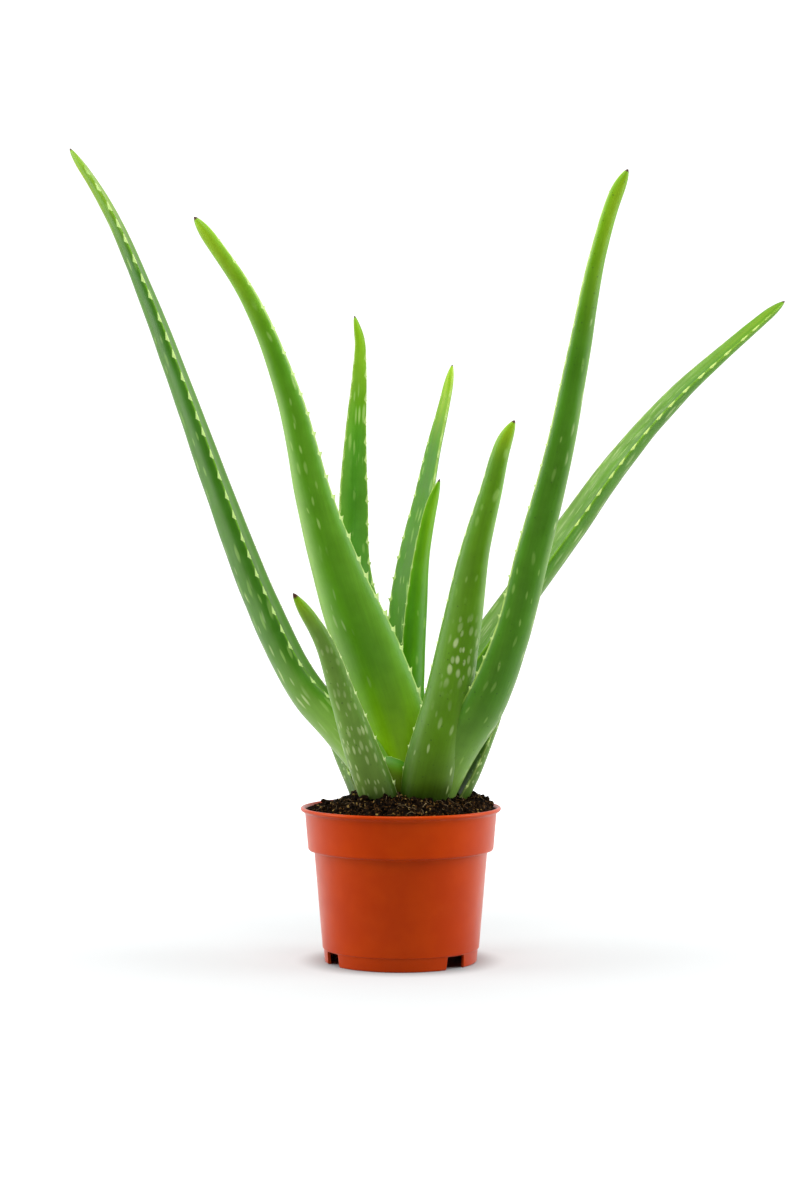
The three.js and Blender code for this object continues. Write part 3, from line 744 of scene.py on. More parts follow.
def flecks(width, length, size, share, seed, low=0.09, high=0.6, middle=0, reach=2.5,
           tone=PALE_FLECK, strength=0.8):
    """Flecks in cells width by length, in millimetres: their size in the cell, the share of cells
    that have one, the heights that they lie between, and how far they reach from the middle."""
    values = (width, length, size, share, seed, low, high, middle, reach)
    return dict(zip(FLECK_SOCKETS, values)), tone, strength


def specks(seed, high=0.6):
    """Tiny dark dots all over a leaf."""
    return flecks(3.5, 4.5, 0.12, 0.3, seed, 0.09, high, tone=DARK_FLECK, strength=0.45)


# Each leaf's side tones hold painted sheen, and its foot tone painted light through the pale bases
# and painted shade by the soil on the dark ones, besides the leaf's own colours.
FINISHES = {
    "leaf_left_long": (
        tones(
            (0.14, 0.285, 0.065), (0.088, 0.235, 0.026), (0.062, 0.19, 0.008),
            (0.072, 0.165, 0.025), (0.30, 0.56, 0.07), (0.32, 0.50, 0.006), (0.30, 0.33, 0.19),
            (0.16, 0.44, 0.008), Tooth_Tone=(0.56, 0.80, 0.24), Tip_Reach=95, Foot_Top=0.20,
            Line_Strength=0.85, Band_Strength=0.8, Brown_Tip=1.1,
        ),
        [
            flecks(3.4, 22, 0.28, 0.45, 1.7, 0.1, 0.5, 0.2, 0.9, GREEN_FLECK, 0.5),
            flecks(3.0, 20, 0.3, 0.45, 7.7, 0.13, 0.26, 0.0, 0.8, strength=0.7),
        ],
    ),
    "leaf_broad": (
        tones(
            (0.38, 0.60, 0.17), (0.092, 0.30, 0.0), (0.14, 0.36, 0.02), (0.10, 0.28, 0.01),
            (0.34, 0.66, 0.0), (0.29, 0.50, 0.01), (0.20, 0.32, 0.08), (0.48, 0.72, 0.16),
            Left_Reach=0.12, Tip_Reach=100, Foot_Top=0.19, Line_Strength=0.85, Line_Width=1.9,
            Brown_Tip=1.0,
        ),
        [
            flecks(3.8, 17, 0.28, 0.6, 4.1, 0.27, 0.395, 0.5, 0.4, GREEN_FLECK, 0.9),
            flecks(3.2, 16, 0.26, 0.55, 14.1, 0.24, 0.35, 0.0, 0.4, GREEN_FLECK, 0.7),
            flecks(3.2, 19, 0.26, 0.5, 24.1, 0.15, 0.25, -0.3, 0.5, PALE_FLECK, 0.35),
        ],
    ),
    "leaf_front_left_short": (
        tones(
            (0.24, 0.40, 0.09), (0.15, 0.30, 0.035), (0.16, 0.30, 0.045), (0.15, 0.28, 0.05),
            (0.12, 0.22, 0.03), (0.24, 0.44, 0.0), (0.28, 0.36, 0.14), (0.50, 0.70, 0.22),
            Tooth_Tone=(0.66, 0.84, 0.34), Line_Strength=0.85, Tip_Reach=28, Foot_Top=0.15,
            Foot_Shade=0.65, Brown_Tip=1.9,
        ),
        [
            flecks(2.2, 9, 0.36, 0.75, 2.3, 0.095, 0.175, -0.1, 0.95, strength=0.75),
            flecks(2.6, 9, 0.3, 0.5, 12.3, 0.155, 0.205, strength=0.45),
            specks(31.3, 0.2),
        ],
    ),
    "leaf_back_left": (
        tones(
            (0.085, 0.29, 0.005), (0.05, 0.24, 0.0), (0.13, 0.36, 0.02), (0.062, 0.265, 0.0),
            (0.04, 0.17, 0.0), (0.27, 0.53, 0.004), (0.30, 0.52, 0.06), (0.42, 0.62, 0.10),
            Tip_Reach=90, Band_Strength=0.2, Brown_Tip=0.7,
        ),
        [
            flecks(3.2, 19, 0.34, 0.75, 6.6, 0.295, 0.365, 0.0, 2.0, GREEN_FLECK, 0.95),
            flecks(4.5, 15, 0.26, 0.25, 16.6, 0.1, 0.3, 0.0, 2.0, GREEN_FLECK, 0.35),
        ],
    ),
    "leaf_back_right": (
        tones(
            (0.095, 0.29, 0.0), (0.082, 0.265, 0.0), (0.10, 0.30, 0.002), (0.074, 0.25, 0.0),
            (0.07, 0.26, 0.0), (0.38, 0.60, 0.0), (0.50, 0.74, 0.14), (0.30, 0.50, 0.08),
            Tip_Reach=62, Brown_Tip=0.7,
        ),
        [
            flecks(3.4, 17, 0.3, 0.5, 9.4, 0.16, 0.34, 0.0, 2.0, GREEN_FLECK, 0.7),
        ],
    ),
    "leaf_front_right": (
        tones(
            (0.155, 0.32, 0.045), (0.12, 0.31, 0.002), (0.29, 0.51, 0.11), (0.105, 0.235, 0.015),
            (0.068, 0.155, 0.0), (0.33, 0.54, 0.01), (0.50, 0.72, 0.20), (0.42, 0.56, 0.22),
            Tooth_Tone=(0.66, 0.84, 0.34), Line_Strength=0.85, Tip_Reach=30, Foot_Top=0.18,
            Foot_Shade=0.7, Brown_Tip=0.9,
        ),
        [
            flecks(3.1, 8.4, 0.41, 0.98, 3.3, 0.159, 0.217, 0.1, 0.66, strength=1.0),
            flecks(3.0, 12, 0.3, 0.3, 8.8, 0.09, 0.165, 0.1, 0.9, strength=0.6),
            flecks(4.5, 14, 0.3, 0.45, 5.5, 0.21, 0.33, 0.2, 0.9, GREEN_FLECK, 0.6),
            specks(33.3),
        ],
    ),
    "leaf_young": (
        tones(
            (0.095, 0.32, 0.0), (0.072, 0.265, 0.0), (0.078, 0.27, 0.0), (0.10, 0.32, 0.0),
            (0.062, 0.22, 0.0), (0.19, 0.46, 0.0), (0.52, 0.74, 0.16), (0.25, 0.42, 0.08),
            Tip_Reach=90, Line_Strength=0.9, Brown_Tip=1.1,
        ),
        [flecks(5, 16, 0.22, 0.25, 7.2, 0.12, 0.5, 0.0, 2.0, GREEN_FLECK, 0.4)],
    ),
    "leaf_right_long": (
        tones(
            (0.09, 0.26, 0.010), (0.064, 0.225, 0.002), (0.25, 0.43, 0.10), (0.12, 0.30, 0.03),
            (0.24, 0.46, 0.07), (0.28, 0.51, 0.006), (0.46, 0.68, 0.12), (0.30, 0.38, 0.19),
            Line_Strength=0.85, Line_Width=1.6, Tip_Reach=115, Foot_Top=0.17, Brown_Tip=0.9,
        ),
        [
            flecks(4.2, 17, 0.3, 0.45, 11.5, 0.1, 0.42, 0.5, 0.45, strength=0.65),
            flecks(3.4, 16, 0.26, 0.35, 21.5, 0.1, 0.42, -0.3, 0.6, GREEN_FLECK, 0.5),
            specks(35.5),
        ],
    ),
    "leaf_right_arching": (
        tones(
            (0.085, 0.245, 0.0), (0.12, 0.27, 0.03), (0.26, 0.42, 0.12), (0.12, 0.30, 0.02),
            (0.12, 0.30, 0.03), (0.19, 0.39, 0.0), (0.22, 0.50, 0.02), (0.22, 0.32, 0.12),
            Tooth_Tone=(0.60, 0.80, 0.20), Line_Strength=0.7, Band_Strength=0.6, Tip_Reach=95,
            Fibre_Strength=0.45, Brown_Tip=1.2,
        ),
        [flecks(2.6, 20, 0.3, 0.65, 13.1, 0.1, 0.37, 0.1, 1.0, strength=0.5)],
    ),
    "leaf_right_small": (
        tones(
            (0.15, 0.29, 0.04), (0.13, 0.26, 0.03), (0.15, 0.29, 0.04), (0.12, 0.27, 0.02),
            (0.12, 0.22, 0.03), (0.20, 0.32, 0.04), (0.36, 0.50, 0.12), (0.36, 0.50, 0.12),
            Tip_Reach=30, Brown_Tip=2.0,
        ),
        [flecks(2.8, 5.5, 0.24, 0.55, 17.9, 0.09, 0.2, strength=0.7), specks(37.9)],
    ),
    "leaf_left_small": (
        tones(
            (0.14, 0.28, 0.03), (0.12, 0.25, 0.02), (0.14, 0.28, 0.03), (0.10, 0.22, 0.015),
            (0.16, 0.30, 0.04), (0.20, 0.32, 0.04), (0.36, 0.50, 0.12), (0.36, 0.50, 0.12),
            Tip_Reach=30, Brown_Tip=2.0,
        ),
        [flecks(2.8, 5.5, 0.24, 0.55, 19.3, 0.09, 0.2, strength=0.6)],
    ),
}

# The edge of the long left leaf's sheath, which passes in front of the broad leaf's foot.
SHEATH_SEED = 12
SHEATH = {
    "path": [(14, -13, 96), (6, -17, 105), (-2, -19.3, 110), (-14, -19.5, 115), (-24, -15, 120)],
    "half_width": [12, 13, 12, 10.5, 4],
    "thickness": [2.4, 2.6, 2.6, 2.4, 2],
    "wrap": [26, 28, 30, 30, 30],
    "facing": [285, 278, 268, 258, 248],
    "teeth": (0.2, 0.6),
    "toothed_from": 106,
}
SHEATH_FINISH = tones(
    (0.13, 0.17, 0.0), (0.12, 0.22, 0.0), (0.10, 0.34, 0.0), (0.12, 0.3, 0.01), (0.13, 0.20, 0.0),
    (0.14, 0.34, 0.0), (0.16, 0.15, 0.09), (0.52, 0.76, 0.20), Tooth_Tone=(0.66, 0.84, 0.34),
    Tip_Reach=10, Foot_Top=0.114, Line_Strength=1.0, Brown_Tip=0.3,
)


def add_sheath():
    sheath = add_leaf("leaf_sheath", SHEATH, SHEATH_SEED, SHEATH_FINISH, [])
    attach(sheath, "root")


def add_leaves():
    for seed, (name, leaf) in enumerate(LEAVES.items(), start=1):
        piece = add_leaf(name, leaf, seed, *FINISHES[name])
        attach(piece, "root")
        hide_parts(name)


# ---- pot ----

# Radius and height of the pot's section, from the middle of its underside, round the foot, up
# the outside, over the lip and down the inside.
POT_SECTION = [
    (44.6, 8.8), (43.4, 0.3), (43.6, 0), (44.8, 0), (45.3, 0.3), (45.6, 0.9), (46.1, 7.7),
    (46.4, 8.2), (46.9, 8.5), (51.8, 65.6), (52.1, 66.2), (52.8, 66.6), (54.3, 66.75),
    (55.1, 67.0), (55.45, 67.5), (55.6, 68.4), (57.3, 88.2), (57.6, 89.1), (58.3, 89.8),
    (59.2, 90.1), (59.7, 90.5), (60.0, 91.3), (59.8, 92.0), (59.3, 92.4), (58.7, 92.5),
    (58.0, 92.3), (57.5, 91.7), (57.2, 90.9), (56.2, 88.6), (54.4, 69.5), (54.0, 68.6),
    (53.3, 68.2), (50.7, 67.6), (45.8, 10.6), (45.4, 10.3),
]
POT_SIDES = 160
NOTCH_AZIMUTHS = (315, 208, 81.5)
NOTCH_CIRCLE = 46
NOTCH_DEPTH = 12
NOTCH_WIDTH = 15
NOTCH_TOP_WIDTH = 13.4
NOTCH_BOTTOM = -1
NOTCH_HEIGHT = 7.8
DRAIN_COUNT = 6
DRAIN_FIRST_AZIMUTH = 15
DRAIN_RADIUS = 4
DRAIN_CIRCLE = 33
DRAIN_SIDES = 28
DRAIN_DEPTH = 6
DRAIN_HEIGHT = 9.5
EDGE_ROUNDING = 0.25
EDGE_ROUNDING_STEPS = 2
ROUNDED_EDGE_ANGLE = 40
SMOOTH_EDGE_ANGLE = 38

POT_RED = (0.56, 0.047, 0.0, 1)
POT_DEEP_RED = (0.51, 0.038, 0.0, 1)
POT_WORN_RED = (0.60, 0.075, 0.008, 1)
POT_FOOT_RED = (0.42, 0.030, 0.0, 1)
POT_GLOSS_TINT = (1.0, 0.72, 0.38, 1)


def pick(piece):
    """Makes a piece the only one selected, and the active one."""
    bpy.ops.object.select_all(action="DESELECT")
    piece.select_set(True)
    bpy.context.view_layer.objects.active = piece


def apply_place(piece):
    pick(piece)
    bpy.ops.object.transform_apply(location=True, rotation=True, scale=True)


def apply_modifier(piece, kind, **settings):
    modifier = piece.modifiers.new(kind, kind)
    for name, value in settings.items():
        setattr(modifier, name, value)
    pick(piece)
    bpy.ops.object.modifier_apply(modifier=modifier.name)


def cut(piece, cutter):
    apply_modifier(piece, "BOOLEAN", object=cutter, operation="DIFFERENCE", solver="EXACT")
    bpy.data.objects.remove(cutter)


def draw_rings(section):
    """Extrudes the loop of selected edges from ring to ring of (radius, height), caps the last
    ring, and turns the faces outwards."""
    for (before, low), (after, high) in zip(section, section[1:]):
        bpy.ops.mesh.extrude_edges_move(TRANSFORM_OT_translate={"value": (0, 0, (high - low) * MM)})
        share = after / before
        centre = (POT_X, POT_Y, high * MM)
        bpy.ops.transform.resize(value=(share, share, 1), center_override=centre)
    bpy.ops.mesh.edge_face_add()
    face_outwards()


def turned_piece(name, section, sides):
    """Turns a section into a closed body, ring by ring."""
    radius, height = section[0]
    piece = add_primitive(
        name,
        bpy.ops.mesh.primitive_circle_add,
        vertices=sides,
        radius=radius * MM,
        fill_type="NGON",
        location=(POT_X, POT_Y, height * MM),
    )
    bpy.ops.object.mode_set(mode="EDIT")
    bpy.ops.mesh.select_mode(type="EDGE")
    bpy.ops.mesh.select_all(action="SELECT")
    draw_rings(section)
    apply_place(piece)
    return piece


def on_circle(radius, angle, height):
    """A place in metres, at a radius from the pot's axis and a height in millimetres."""
    x, y = radius * MM * math.cos(angle), radius * MM * math.sin(angle)
    return POT_X + x, POT_Y + y, height * MM


def notch_cutter(azimuth):
    """A block through the foot's skirt, narrower at its top."""
    angle = math.radians(azimuth)
    cutter = add_primitive("notch cutter", bpy.ops.mesh.primitive_cube_add, size=1)
    for vertex in cutter.data.vertices:
        top = vertex.co.z > 0
        vertex.co.x *= NOTCH_DEPTH * MM
        vertex.co.y *= (NOTCH_TOP_WIDTH if top else NOTCH_WIDTH) * MM
        vertex.co.z = (NOTCH_HEIGHT if top else NOTCH_BOTTOM) * MM
    cutter.rotation_euler = (0, 0, angle)
    cutter.location = on_circle(NOTCH_CIRCLE, angle, 0)
    apply_place(cutter)
    return cutter


def drain_cutter(azimuth):
    cutter = add_primitive(
        "drain cutter",
        bpy.ops.mesh.primitive_cylinder_add,
        vertices=DRAIN_SIDES,
        radius=DRAIN_RADIUS * MM,
        depth=DRAIN_DEPTH * MM,
        location=on_circle(DRAIN_CIRCLE, math.radians(azimuth), DRAIN_HEIGHT),
    )
    apply_place(cutter)
    return cutter


def pot_material():
    material, tree, shader = new_material("terracotta plastic")
    position = tree.place()
    clouds = tree.grain(position, 30, 3, 0.6)
    colour = tree.blend(tree.ease(clouds, 0.35, 0.65), POT_RED, POT_DEEP_RED)
    worn = tree.times(tree.ease(tree.grain(position, 45, 2, 0.5), 0.5, 0.8), 0.10)
    colour = tree.blend(worn, colour, POT_WORN_RED)
    near_foot = tree.times(tree.fade(tree.split(position)[2], 0.0, 0.02), 0.18)
    skin = tree.plus(tree.grain(position, 1400, 1, 0.5), tree.times(clouds, 2.0))
    tree.feed(shader, {
        "Base Color": tree.blend(near_foot, colour, POT_FOOT_RED),
        "Roughness": tree.ease(tree.grain(position, 60, 2, 0.5), 0.3, 0.7, 0.30, 0.33),
        "Normal": tree.bump(skin, 0.0001, 0.15),
        "IOR": 1.45,
        "Specular IOR Level": 0.32,
        "Specular Tint": POT_GLOSS_TINT,
    })
    return material


def add_pot():
    pot = turned_piece("pot_shell", POT_SECTION, POT_SIDES)
    for azimuth in NOTCH_AZIMUTHS:
        cut(pot, notch_cutter(azimuth))
    for i in range(DRAIN_COUNT):
        cut(pot, drain_cutter(DRAIN_FIRST_AZIMUTH + 360 / DRAIN_COUNT * i))
    apply_modifier(
        pot,
        "BEVEL",
        width=EDGE_ROUNDING * MM,
        segments=EDGE_ROUNDING_STEPS,
        limit_method="ANGLE",
        angle_limit=math.radians(ROUNDED_EDGE_ANGLE),
    )
    bpy.ops.object.shade_smooth_by_angle(angle=math.radians(SMOOTH_EDGE_ANGLE))
    pot.data.materials.append(pot_material())
    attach(pot, "root")
    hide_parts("pot")


# ---- soil ----

SOIL_EDGE = 56.9
SOIL_EDGE_HEIGHT = 91.0
SOIL_MOUND_HEIGHT = 99.5
SOIL_MOUND_RADIUS = 27
SOIL_GRID = 230
SOIL_SIDE = [(56.0, 88.6), (53.9, 69.6), (53.2, 68.5), (50.2, 67.9), (45.3, 10.7)]
# Level ground at the left and a heap at the right: x, y, and how far each spreads in x and y.
LEVEL_GROUND = (-46, 10, 20, 34)
HEAP = (46, -2, 9, 24)
HEAP_HEIGHT = 3.6

# Clods placed one by one: x, y, size and height over the bed.
HEAPED_CLODS = [
    (-45.5, 16, 2.8, 0.8), (-46.6, 15.4, 1.7, 2.5), (-44, 17, 1.8, 1.2), (-43, 20, 2.2, 0.4),
    (-29, 6, 4.2, 0), (-27, 10, 3.6, 1.5), (-31, 12, 3.0, 0), (-25.5, 6, 3.2, 2.0),
    (50, -4, 3.4, 0), (52.5, 1, 3.0, 0.4), (48, 4, 2.8, 1.2), (51.5, -1.5, 2.0, 2.6),
    (44, 8, 3.0, 0.6),
]
CRUMB_ROUGHNESS = 0.45
FIBRE_SIDES = 5
FIBRE_STEPS = 7
FIBRE_SPREAD = 52
FIBRE_REACH = 54
FIBRE_LENGTHS = (4, 12)
FIBRE_RADII = (0.08, 0.22)
FIBRE_CURLS = (-0.25, 0.25)
FIBRE_ARCHES = (0.2, 1.8)
FIBRE_LIFT = 0.5

SOIL_BLACK = (0.0015, 0.0006, 0.0002, 1)
SOIL_BROWN = (0.014, 0.0062, 0.0019, 1)
BARK_BROWN = (0.13, 0.060, 0.014, 1)
GRIT_BROWN = (0.42, 0.27, 0.08, 1)
FIBRE_BROWN = (0.10, 0.048, 0.018, 1)
FIBRE_STRAW = (0.36, 0.25, 0.11, 1)


def patch(x, y, middle_x, middle_y, spread_x, spread_y):
    """1 in the middle of a patch of ground, falling to 0 round it."""
    return math.exp(-(((x - middle_x) / spread_x) ** 2) - ((y - middle_y) / spread_y) ** 2)


def soil_height(x, y):
    """Height of the soil's surface in millimetres, at x and y from the pot's axis: a mound with
    broad swells, lumps and fine crumbs, which are calmer on the level ground and at the rim."""
    inward = SOIL_EDGE - math.hypot(x, y)
    rise = smooth_step(inward, 0, SOIL_EDGE - SOIL_MOUND_RADIUS)
    swells = (
        math.sin(0.31 * x + 1.3) * math.cos(0.27 * y - 0.4)
        + 0.6 * math.sin(0.53 * x - 0.47 * y)
        + 0.4 * math.cos(0.21 * x + 0.63 * y + 2)
    )
    level = patch(x, y, *LEVEL_GROUND)
    height = SOIL_EDGE_HEIGHT + (SOIL_MOUND_HEIGHT - SOIL_EDGE_HEIGHT) * rise * (1 - 0.75 * level)
    loose = smooth_step(inward, 0, 6) * (1 - 0.5 * level)
    lumps = 1.6 * noise.fractal(Vector((x / 5.5, y / 5.5, 3.1)), 0.9, 2.1, 4)
    crumbs = 0.7 * abs(noise.noise(Vector((x / 1.6, y / 1.6, 9.7))))
    return height + loose * (1.1 * swells + lumps + crumbs + HEAP_HEIGHT * patch(x, y, *HEAP))


def soil_material():
    material, tree, shader = new_material("potting soil")
    position = tree.place()
    clumps = tree.grain(position, 260, 5, 0.7)
    colour = tree.blend(tree.ease(clumps, 0.35, 0.7), SOIL_BLACK, SOIL_BROWN)
    bark = tree.ease(tree.grain(position, 620, 2, 0.6, 0.5), 0.57, 0.66)
    colour = tree.blend(tree.times(bark, 0.8), colour, BARK_BROWN)
    sockets = {"Vector": position, "Scale": 420.0, "Randomness": 1.0}
    grit = tree.put("TexVoronoi", sockets, feature="F1").outputs
    luck = tree.put("SeparateColor", {0: grit["Color"]}).outputs[0]
    chosen = tree.maths("GREATER_THAN", luck, 0.9)
    pale = tree.times(chosen, tree.fade(grit["Distance"], 0.25, 0.45))
    tree.feed(shader, {
        "Base Color": tree.blend(tree.times(pale, 0.7), colour, GRIT_BROWN),
        "Roughness": 0.8,
        "Specular IOR Level": 0.05,
        "Normal": tree.bump(clumps, 0.0012, 0.8),
    })
    return material


def fibre_material():
    material, tree, shader = new_material("soil fibre")
    tone = tree.ease(tree.grain(tree.place(), 90, 2, 0.5), 0.35, 0.65)
    tree.feed(shader, {"Base Color": tree.blend(tone, FIBRE_BROWN, FIBRE_STRAW), "Roughness": 0.8})
    return material


def add_soil_bed():
    """A square grid drawn out to a disc, raised into the mound, then closed down the pot's wall."""
    grid = {"x_subdivisions": SOIL_GRID, "y_subdivisions": SOIL_GRID, "size": 2}
    bed = add_primitive("soil_bed", bpy.ops.mesh.primitive_grid_add, **grid)
    for vertex in bed.data.vertices:
        a, b = vertex.co.x, vertex.co.y
        x = SOIL_EDGE * a * math.sqrt(1 - b * b / 2)
        y = SOIL_EDGE * b * math.sqrt(1 - a * a / 2)
        vertex.co = (POT_X + x * MM, POT_Y + y * MM, soil_height(x, y) * MM)
    bpy.ops.object.mode_set(mode="EDIT")
    bpy.ops.mesh.select_mode(type="EDGE")
    bpy.ops.mesh.select_all(action="SELECT")
    bpy.ops.mesh.region_to_loop()
    draw_rings([(SOIL_EDGE, SOIL_EDGE_HEIGHT), *SOIL_SIDE])
    bpy.ops.object.shade_smooth()
    return bed


def piece_from(name, places, faces):
    """A piece from its corners, in millimetres from the pot's axis, and its faces."""
    corners = [(POT_X + spot.x * MM, POT_Y + spot.y * MM, spot.z * MM) for spot in places]
    mesh = bpy.data.meshes.new(name)
    mesh.from_pydata(corners, [], faces)
    piece = bpy.data.objects.new(name, mesh)
    bpy.context.scene.collection.objects.link(piece)
    return piece


def ball_pattern(cuts):
    """The corners and faces of a cube that is cut up and blown out to a ball."""
    pattern = add_primitive("ball pattern", bpy.ops.mesh.primitive_cube_add, size=2)
    bpy.ops.object.mode_set(mode="EDIT")
    bpy.ops.mesh.select_all(action="SELECT")
    bpy.ops.mesh.subdivide(number_cuts=cuts)
    bpy.ops.object.mode_set(mode="OBJECT")
    ball = [vertex.co.normalized() for vertex in pattern.data.vertices]
    faces = [tuple(polygon.vertices) for polygon in pattern.data.polygons]
    bpy.data.objects.remove(pattern)
    return ball, faces


def add_crumbs(name, count, sizes, cuts, seed, spread, sunk=0.35, heaped=()):
    """Angular crumbs of soil, each a roughened ball half sunk in the bed, joined in one piece."""
    rng = random.Random(seed)
    ball, ball_faces = ball_pattern(cuts)
    places, faces = [], []
    spots = list(heaped)
    for _ in range(count):
        angle = rng.uniform(0, 2 * math.pi)
        distance = spread * math.sqrt(rng.uniform(0.0, 1.0))
        size = rng.uniform(*sizes) * rng.uniform(0.6, 1.0)
        spots.append((distance * math.cos(angle), distance * math.sin(angle), size, 0))
    for x, y, size, over in spots:
        turned = rng.uniform(0, math.tau)
        axis = Vector((rng.uniform(-1, 1), rng.uniform(-1, 1), 1))
        turn = Matrix.Rotation(turned, 3, axis)
        stretch = Vector((rng.uniform(0.7, 1.3), rng.uniform(0.7, 1.3), rng.uniform(0.6, 1.0)))
        middle = Vector((x, y, soil_height(x, y) + size * (0.5 - sunk) + over))
        shift = Vector((rng.uniform(0, 99), rng.uniform(0, 99), rng.uniform(0, 99)))
        faces += [tuple(len(places) + i for i in face) for face in ball_faces]
        for point in ball:
            rough = 1 + CRUMB_ROUGHNESS * noise.noise(point * 1.7 + shift)
            places.append(middle + turn @ (point * stretch) * size * rough)
    return piece_from(name, places, faces)


def add_fibres(count, seed):
    """Thin bent fibres of peat that lie on the soil, as five-sided tapered threads."""
    rng = random.Random(seed)
    places, faces = [], []
    for _ in range(count):
        angle = rng.uniform(0, math.tau)
        distance = FIBRE_SPREAD * math.sqrt(rng.uniform(0.05, 1))
        x, y = distance * math.cos(angle), distance * math.sin(angle)
        heading = rng.uniform(0, math.tau)
        length, radius = rng.uniform(*FIBRE_LENGTHS), rng.uniform(*FIBRE_RADII)
        curl, arch = rng.uniform(*FIBRE_CURLS), rng.uniform(*FIBRE_ARCHES)
        first = len(places)
        for k in range(FIBRE_STEPS + 1):
            heading += curl
            x += length / FIBRE_STEPS * math.cos(heading)
            y += length / FIBRE_STEPS * math.sin(heading)
            if math.hypot(x, y) > FIBRE_REACH:
                x, y = FIBRE_REACH * x / math.hypot(x, y), FIBRE_REACH * y / math.hypot(x, y)
            z = soil_height(x, y) + FIBRE_LIFT + arch * math.sin(math.pi * k / FIBRE_STEPS)
            thick = radius * (1 - 0.7 * k / FIBRE_STEPS)
            aside = Vector((-math.sin(heading), math.cos(heading), 0))
            for side in range(FIBRE_SIDES):
                turn = math.tau * side / FIBRE_SIDES
                round_it = aside * math.cos(turn) + Vector((0, 0, 1)) * math.sin(turn)
                places.append(Vector((x, y, z)) + thick * round_it)
        rings = [[first + k * FIBRE_SIDES + side for side in range(FIBRE_SIDES)]
                 for k in range(FIBRE_STEPS + 1)]
        for low, high in zip(rings, rings[1:]):
            for side in range(FIBRE_SIDES):
                after = (side + 1) % FIBRE_SIDES
                faces.append((low[side], low[after], high[after], high[side]))
        faces += [tuple(reversed(rings[0])), tuple(rings[-1])]
    return piece_from("soil_fibres", places, faces)


def add_soil():
    soil = soil_material()
    bed = add_soil_bed()
    large = add_crumbs(
        "soil_clods", count=260, sizes=(1.6, 3.6), cuts=2, seed=41, spread=51, sunk=0.45,
        heaped=HEAPED_CLODS,
    )
    small = add_crumbs("soil_crumbs", count=2600, sizes=(0.4, 1.4), cuts=1, seed=43, spread=55)
    fibres = add_fibres(count=90, seed=47)
    for piece in (bed, large, small, fibres):
        piece.data.materials.append(fibre_material() if piece is fibres else soil)
        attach(piece, "root")
    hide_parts("soil")


# ---- stem ----

CORK_BROWN = (0.16, 0.12, 0.045, 1)
CORK_GREEN = (0.34, 0.33, 0.13, 1)


def finish_stem():
    """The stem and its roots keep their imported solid, and get a corky finish."""
    material, tree, shader = new_material("stem and roots")
    cork = tree.grain(tree.place(), 320, 5, 0.65)
    tree.feed(shader, {
        "Base Color": tree.blend(tree.ease(cork, 0.35, 0.7), CORK_BROWN, CORK_GREEN),
        "Roughness": 0.75,
        "Normal": tree.bump(cork, 0.0008, 0.6),
    })
    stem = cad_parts["stem"]
    if not stem.data.materials:
        stem.data.materials.append(material)
    for slot in stem.material_slots:
        slot.material = material


# ---- stage ----

# The floor is white paper in the picture. The plant is lit by a duller one and mirrors a black flag
# in front and white paper beside it and behind it, so that its colours stay deep.
FLOOR_SIZE = 14
FLOOR_IN_PICTURE = (0.44, 0.455, 0.46, 1)
FLOOR_UNDER_PLANT = (0.40, 0.40, 0.40, 1)
FLAG_IN_GLOSS = (0.02, 0.02, 0.02, 1)
FLOOR_IN_GLOSS = (0.85, 0.85, 0.85, 1)
WHITE = (1, 1, 1, 1)
# Soft boxes: place, what each is aimed at, width and height, in metres. All have the same power.
SOFTBOXES = {
    "left softbox": ((-1.7, -0.15, 0.7), (0, 0, 0.2), 1.2, 1.6),
    "right softbox": ((1.7, -0.15, 0.7), (0, 0, 0.2), 1.2, 1.6),
    "top softbox": ((0.0, -1.1, 1.7), (0, 0, 0.15), 1.6, 0.9),
}
SOFTBOX_WATTS = 22


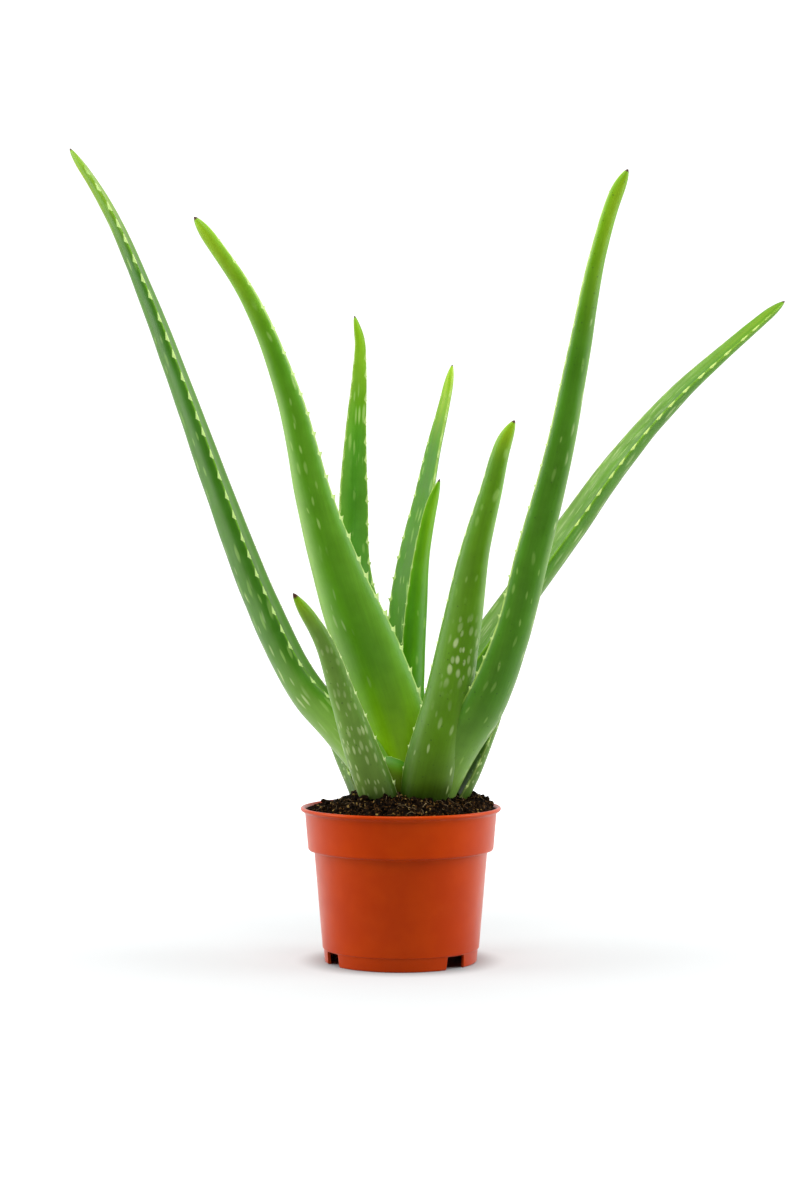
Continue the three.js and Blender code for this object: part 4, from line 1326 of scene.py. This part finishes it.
def add_floor():
    plane = {"size": FLOOR_SIZE, "location": (0, 0, 0)}
    floor = add_primitive("floor", bpy.ops.mesh.primitive_plane_add, **plane)
    material, tree, shader = new_material("pale floor")
    position = tree.place()
    from_axis = {0: position, 1: (POT_X, POT_Y, 0)}
    reach = tree.put("VectorMath", from_axis, operation="DISTANCE").outputs["Value"]
    path = tree.put("LightPath").outputs
    seen = path["Is Camera Ray"]
    depth = tree.split(position)[1]
    mirrored = tree.blend(tree.ease(depth, -0.25, 0.1), FLAG_IN_GLOSS, FLOOR_IN_GLOSS)
    paper = tree.blend(path["Is Glossy Ray"], FLOOR_UNDER_PLANT, mirrored)
    lit = tree.plus(
        tree.ease(reach, 0.045, 0.065, 0.0, 0.30), tree.ease(reach, 0.1, 0.7, 0.0, 0.6)
    )
    tree.feed(shader, {
        "Base Color": tree.blend(seen, paper, FLOOR_IN_PICTURE),
        "Emission Color": WHITE,
        "Emission Strength": tree.times(seen, lit),
        "Roughness": 0.8,
        "Specular IOR Level": 0.1,
    })
    material.cycles.emission_sampling = "NONE"
    floor.data.materials.append(material)


def add_softbox(name, place, aim, width, height):
    data = bpy.data.lights.new(name, "AREA")
    data.shape = "RECTANGLE"
    data.size = width
    data.size_y = height
    data.energy = SOFTBOX_WATTS
    lamp = bpy.data.objects.new(name, data)
    lamp.location = place
    lamp.rotation_euler = (Vector(aim) - Vector(place)).to_track_quat("-Z", "Y").to_euler()
    bpy.context.scene.collection.objects.link(lamp)


def light_studio():
    """A white room, darker on the side that the photograph was taken from, with soft boxes."""
    world = bpy.data.worlds.new("studio")
    bpy.context.scene.world = world
    world.use_nodes = True
    tree = Tree(world.node_tree)
    tree.data.nodes.clear()
    _, depth, height = tree.split(tree.put("TexCoord").outputs["Generated"])
    path = tree.put("LightPath").outputs
    bright = tree.ease(depth, -0.7, 0.15, 0.02, 1.25)
    dimmed = tree.minus(1.0, tree.times(tree.ease(height, 0.2, 0.8), path["Is Glossy Ray"]))
    bright = tree.times(bright, tree.maths("MAXIMUM", dimmed, 0.3))
    strength = tree.maths("MAXIMUM", bright, tree.times(path["Is Camera Ray"], 1.1))
    background = tree.put("Background", {"Color": WHITE, "Strength": strength})
    tree.put("OutputWorld", {"Surface": background.outputs[0]})
    for name, numbers in SOFTBOXES.items():
        add_softbox(name, *numbers)
    view = bpy.context.scene.view_settings
    view.view_transform = "Standard"
    view.look = "None"


add_camera()
add_pot()
add_soil()
finish_stem()
add_leaves()
add_sheath()
add_floor()
light_studio()
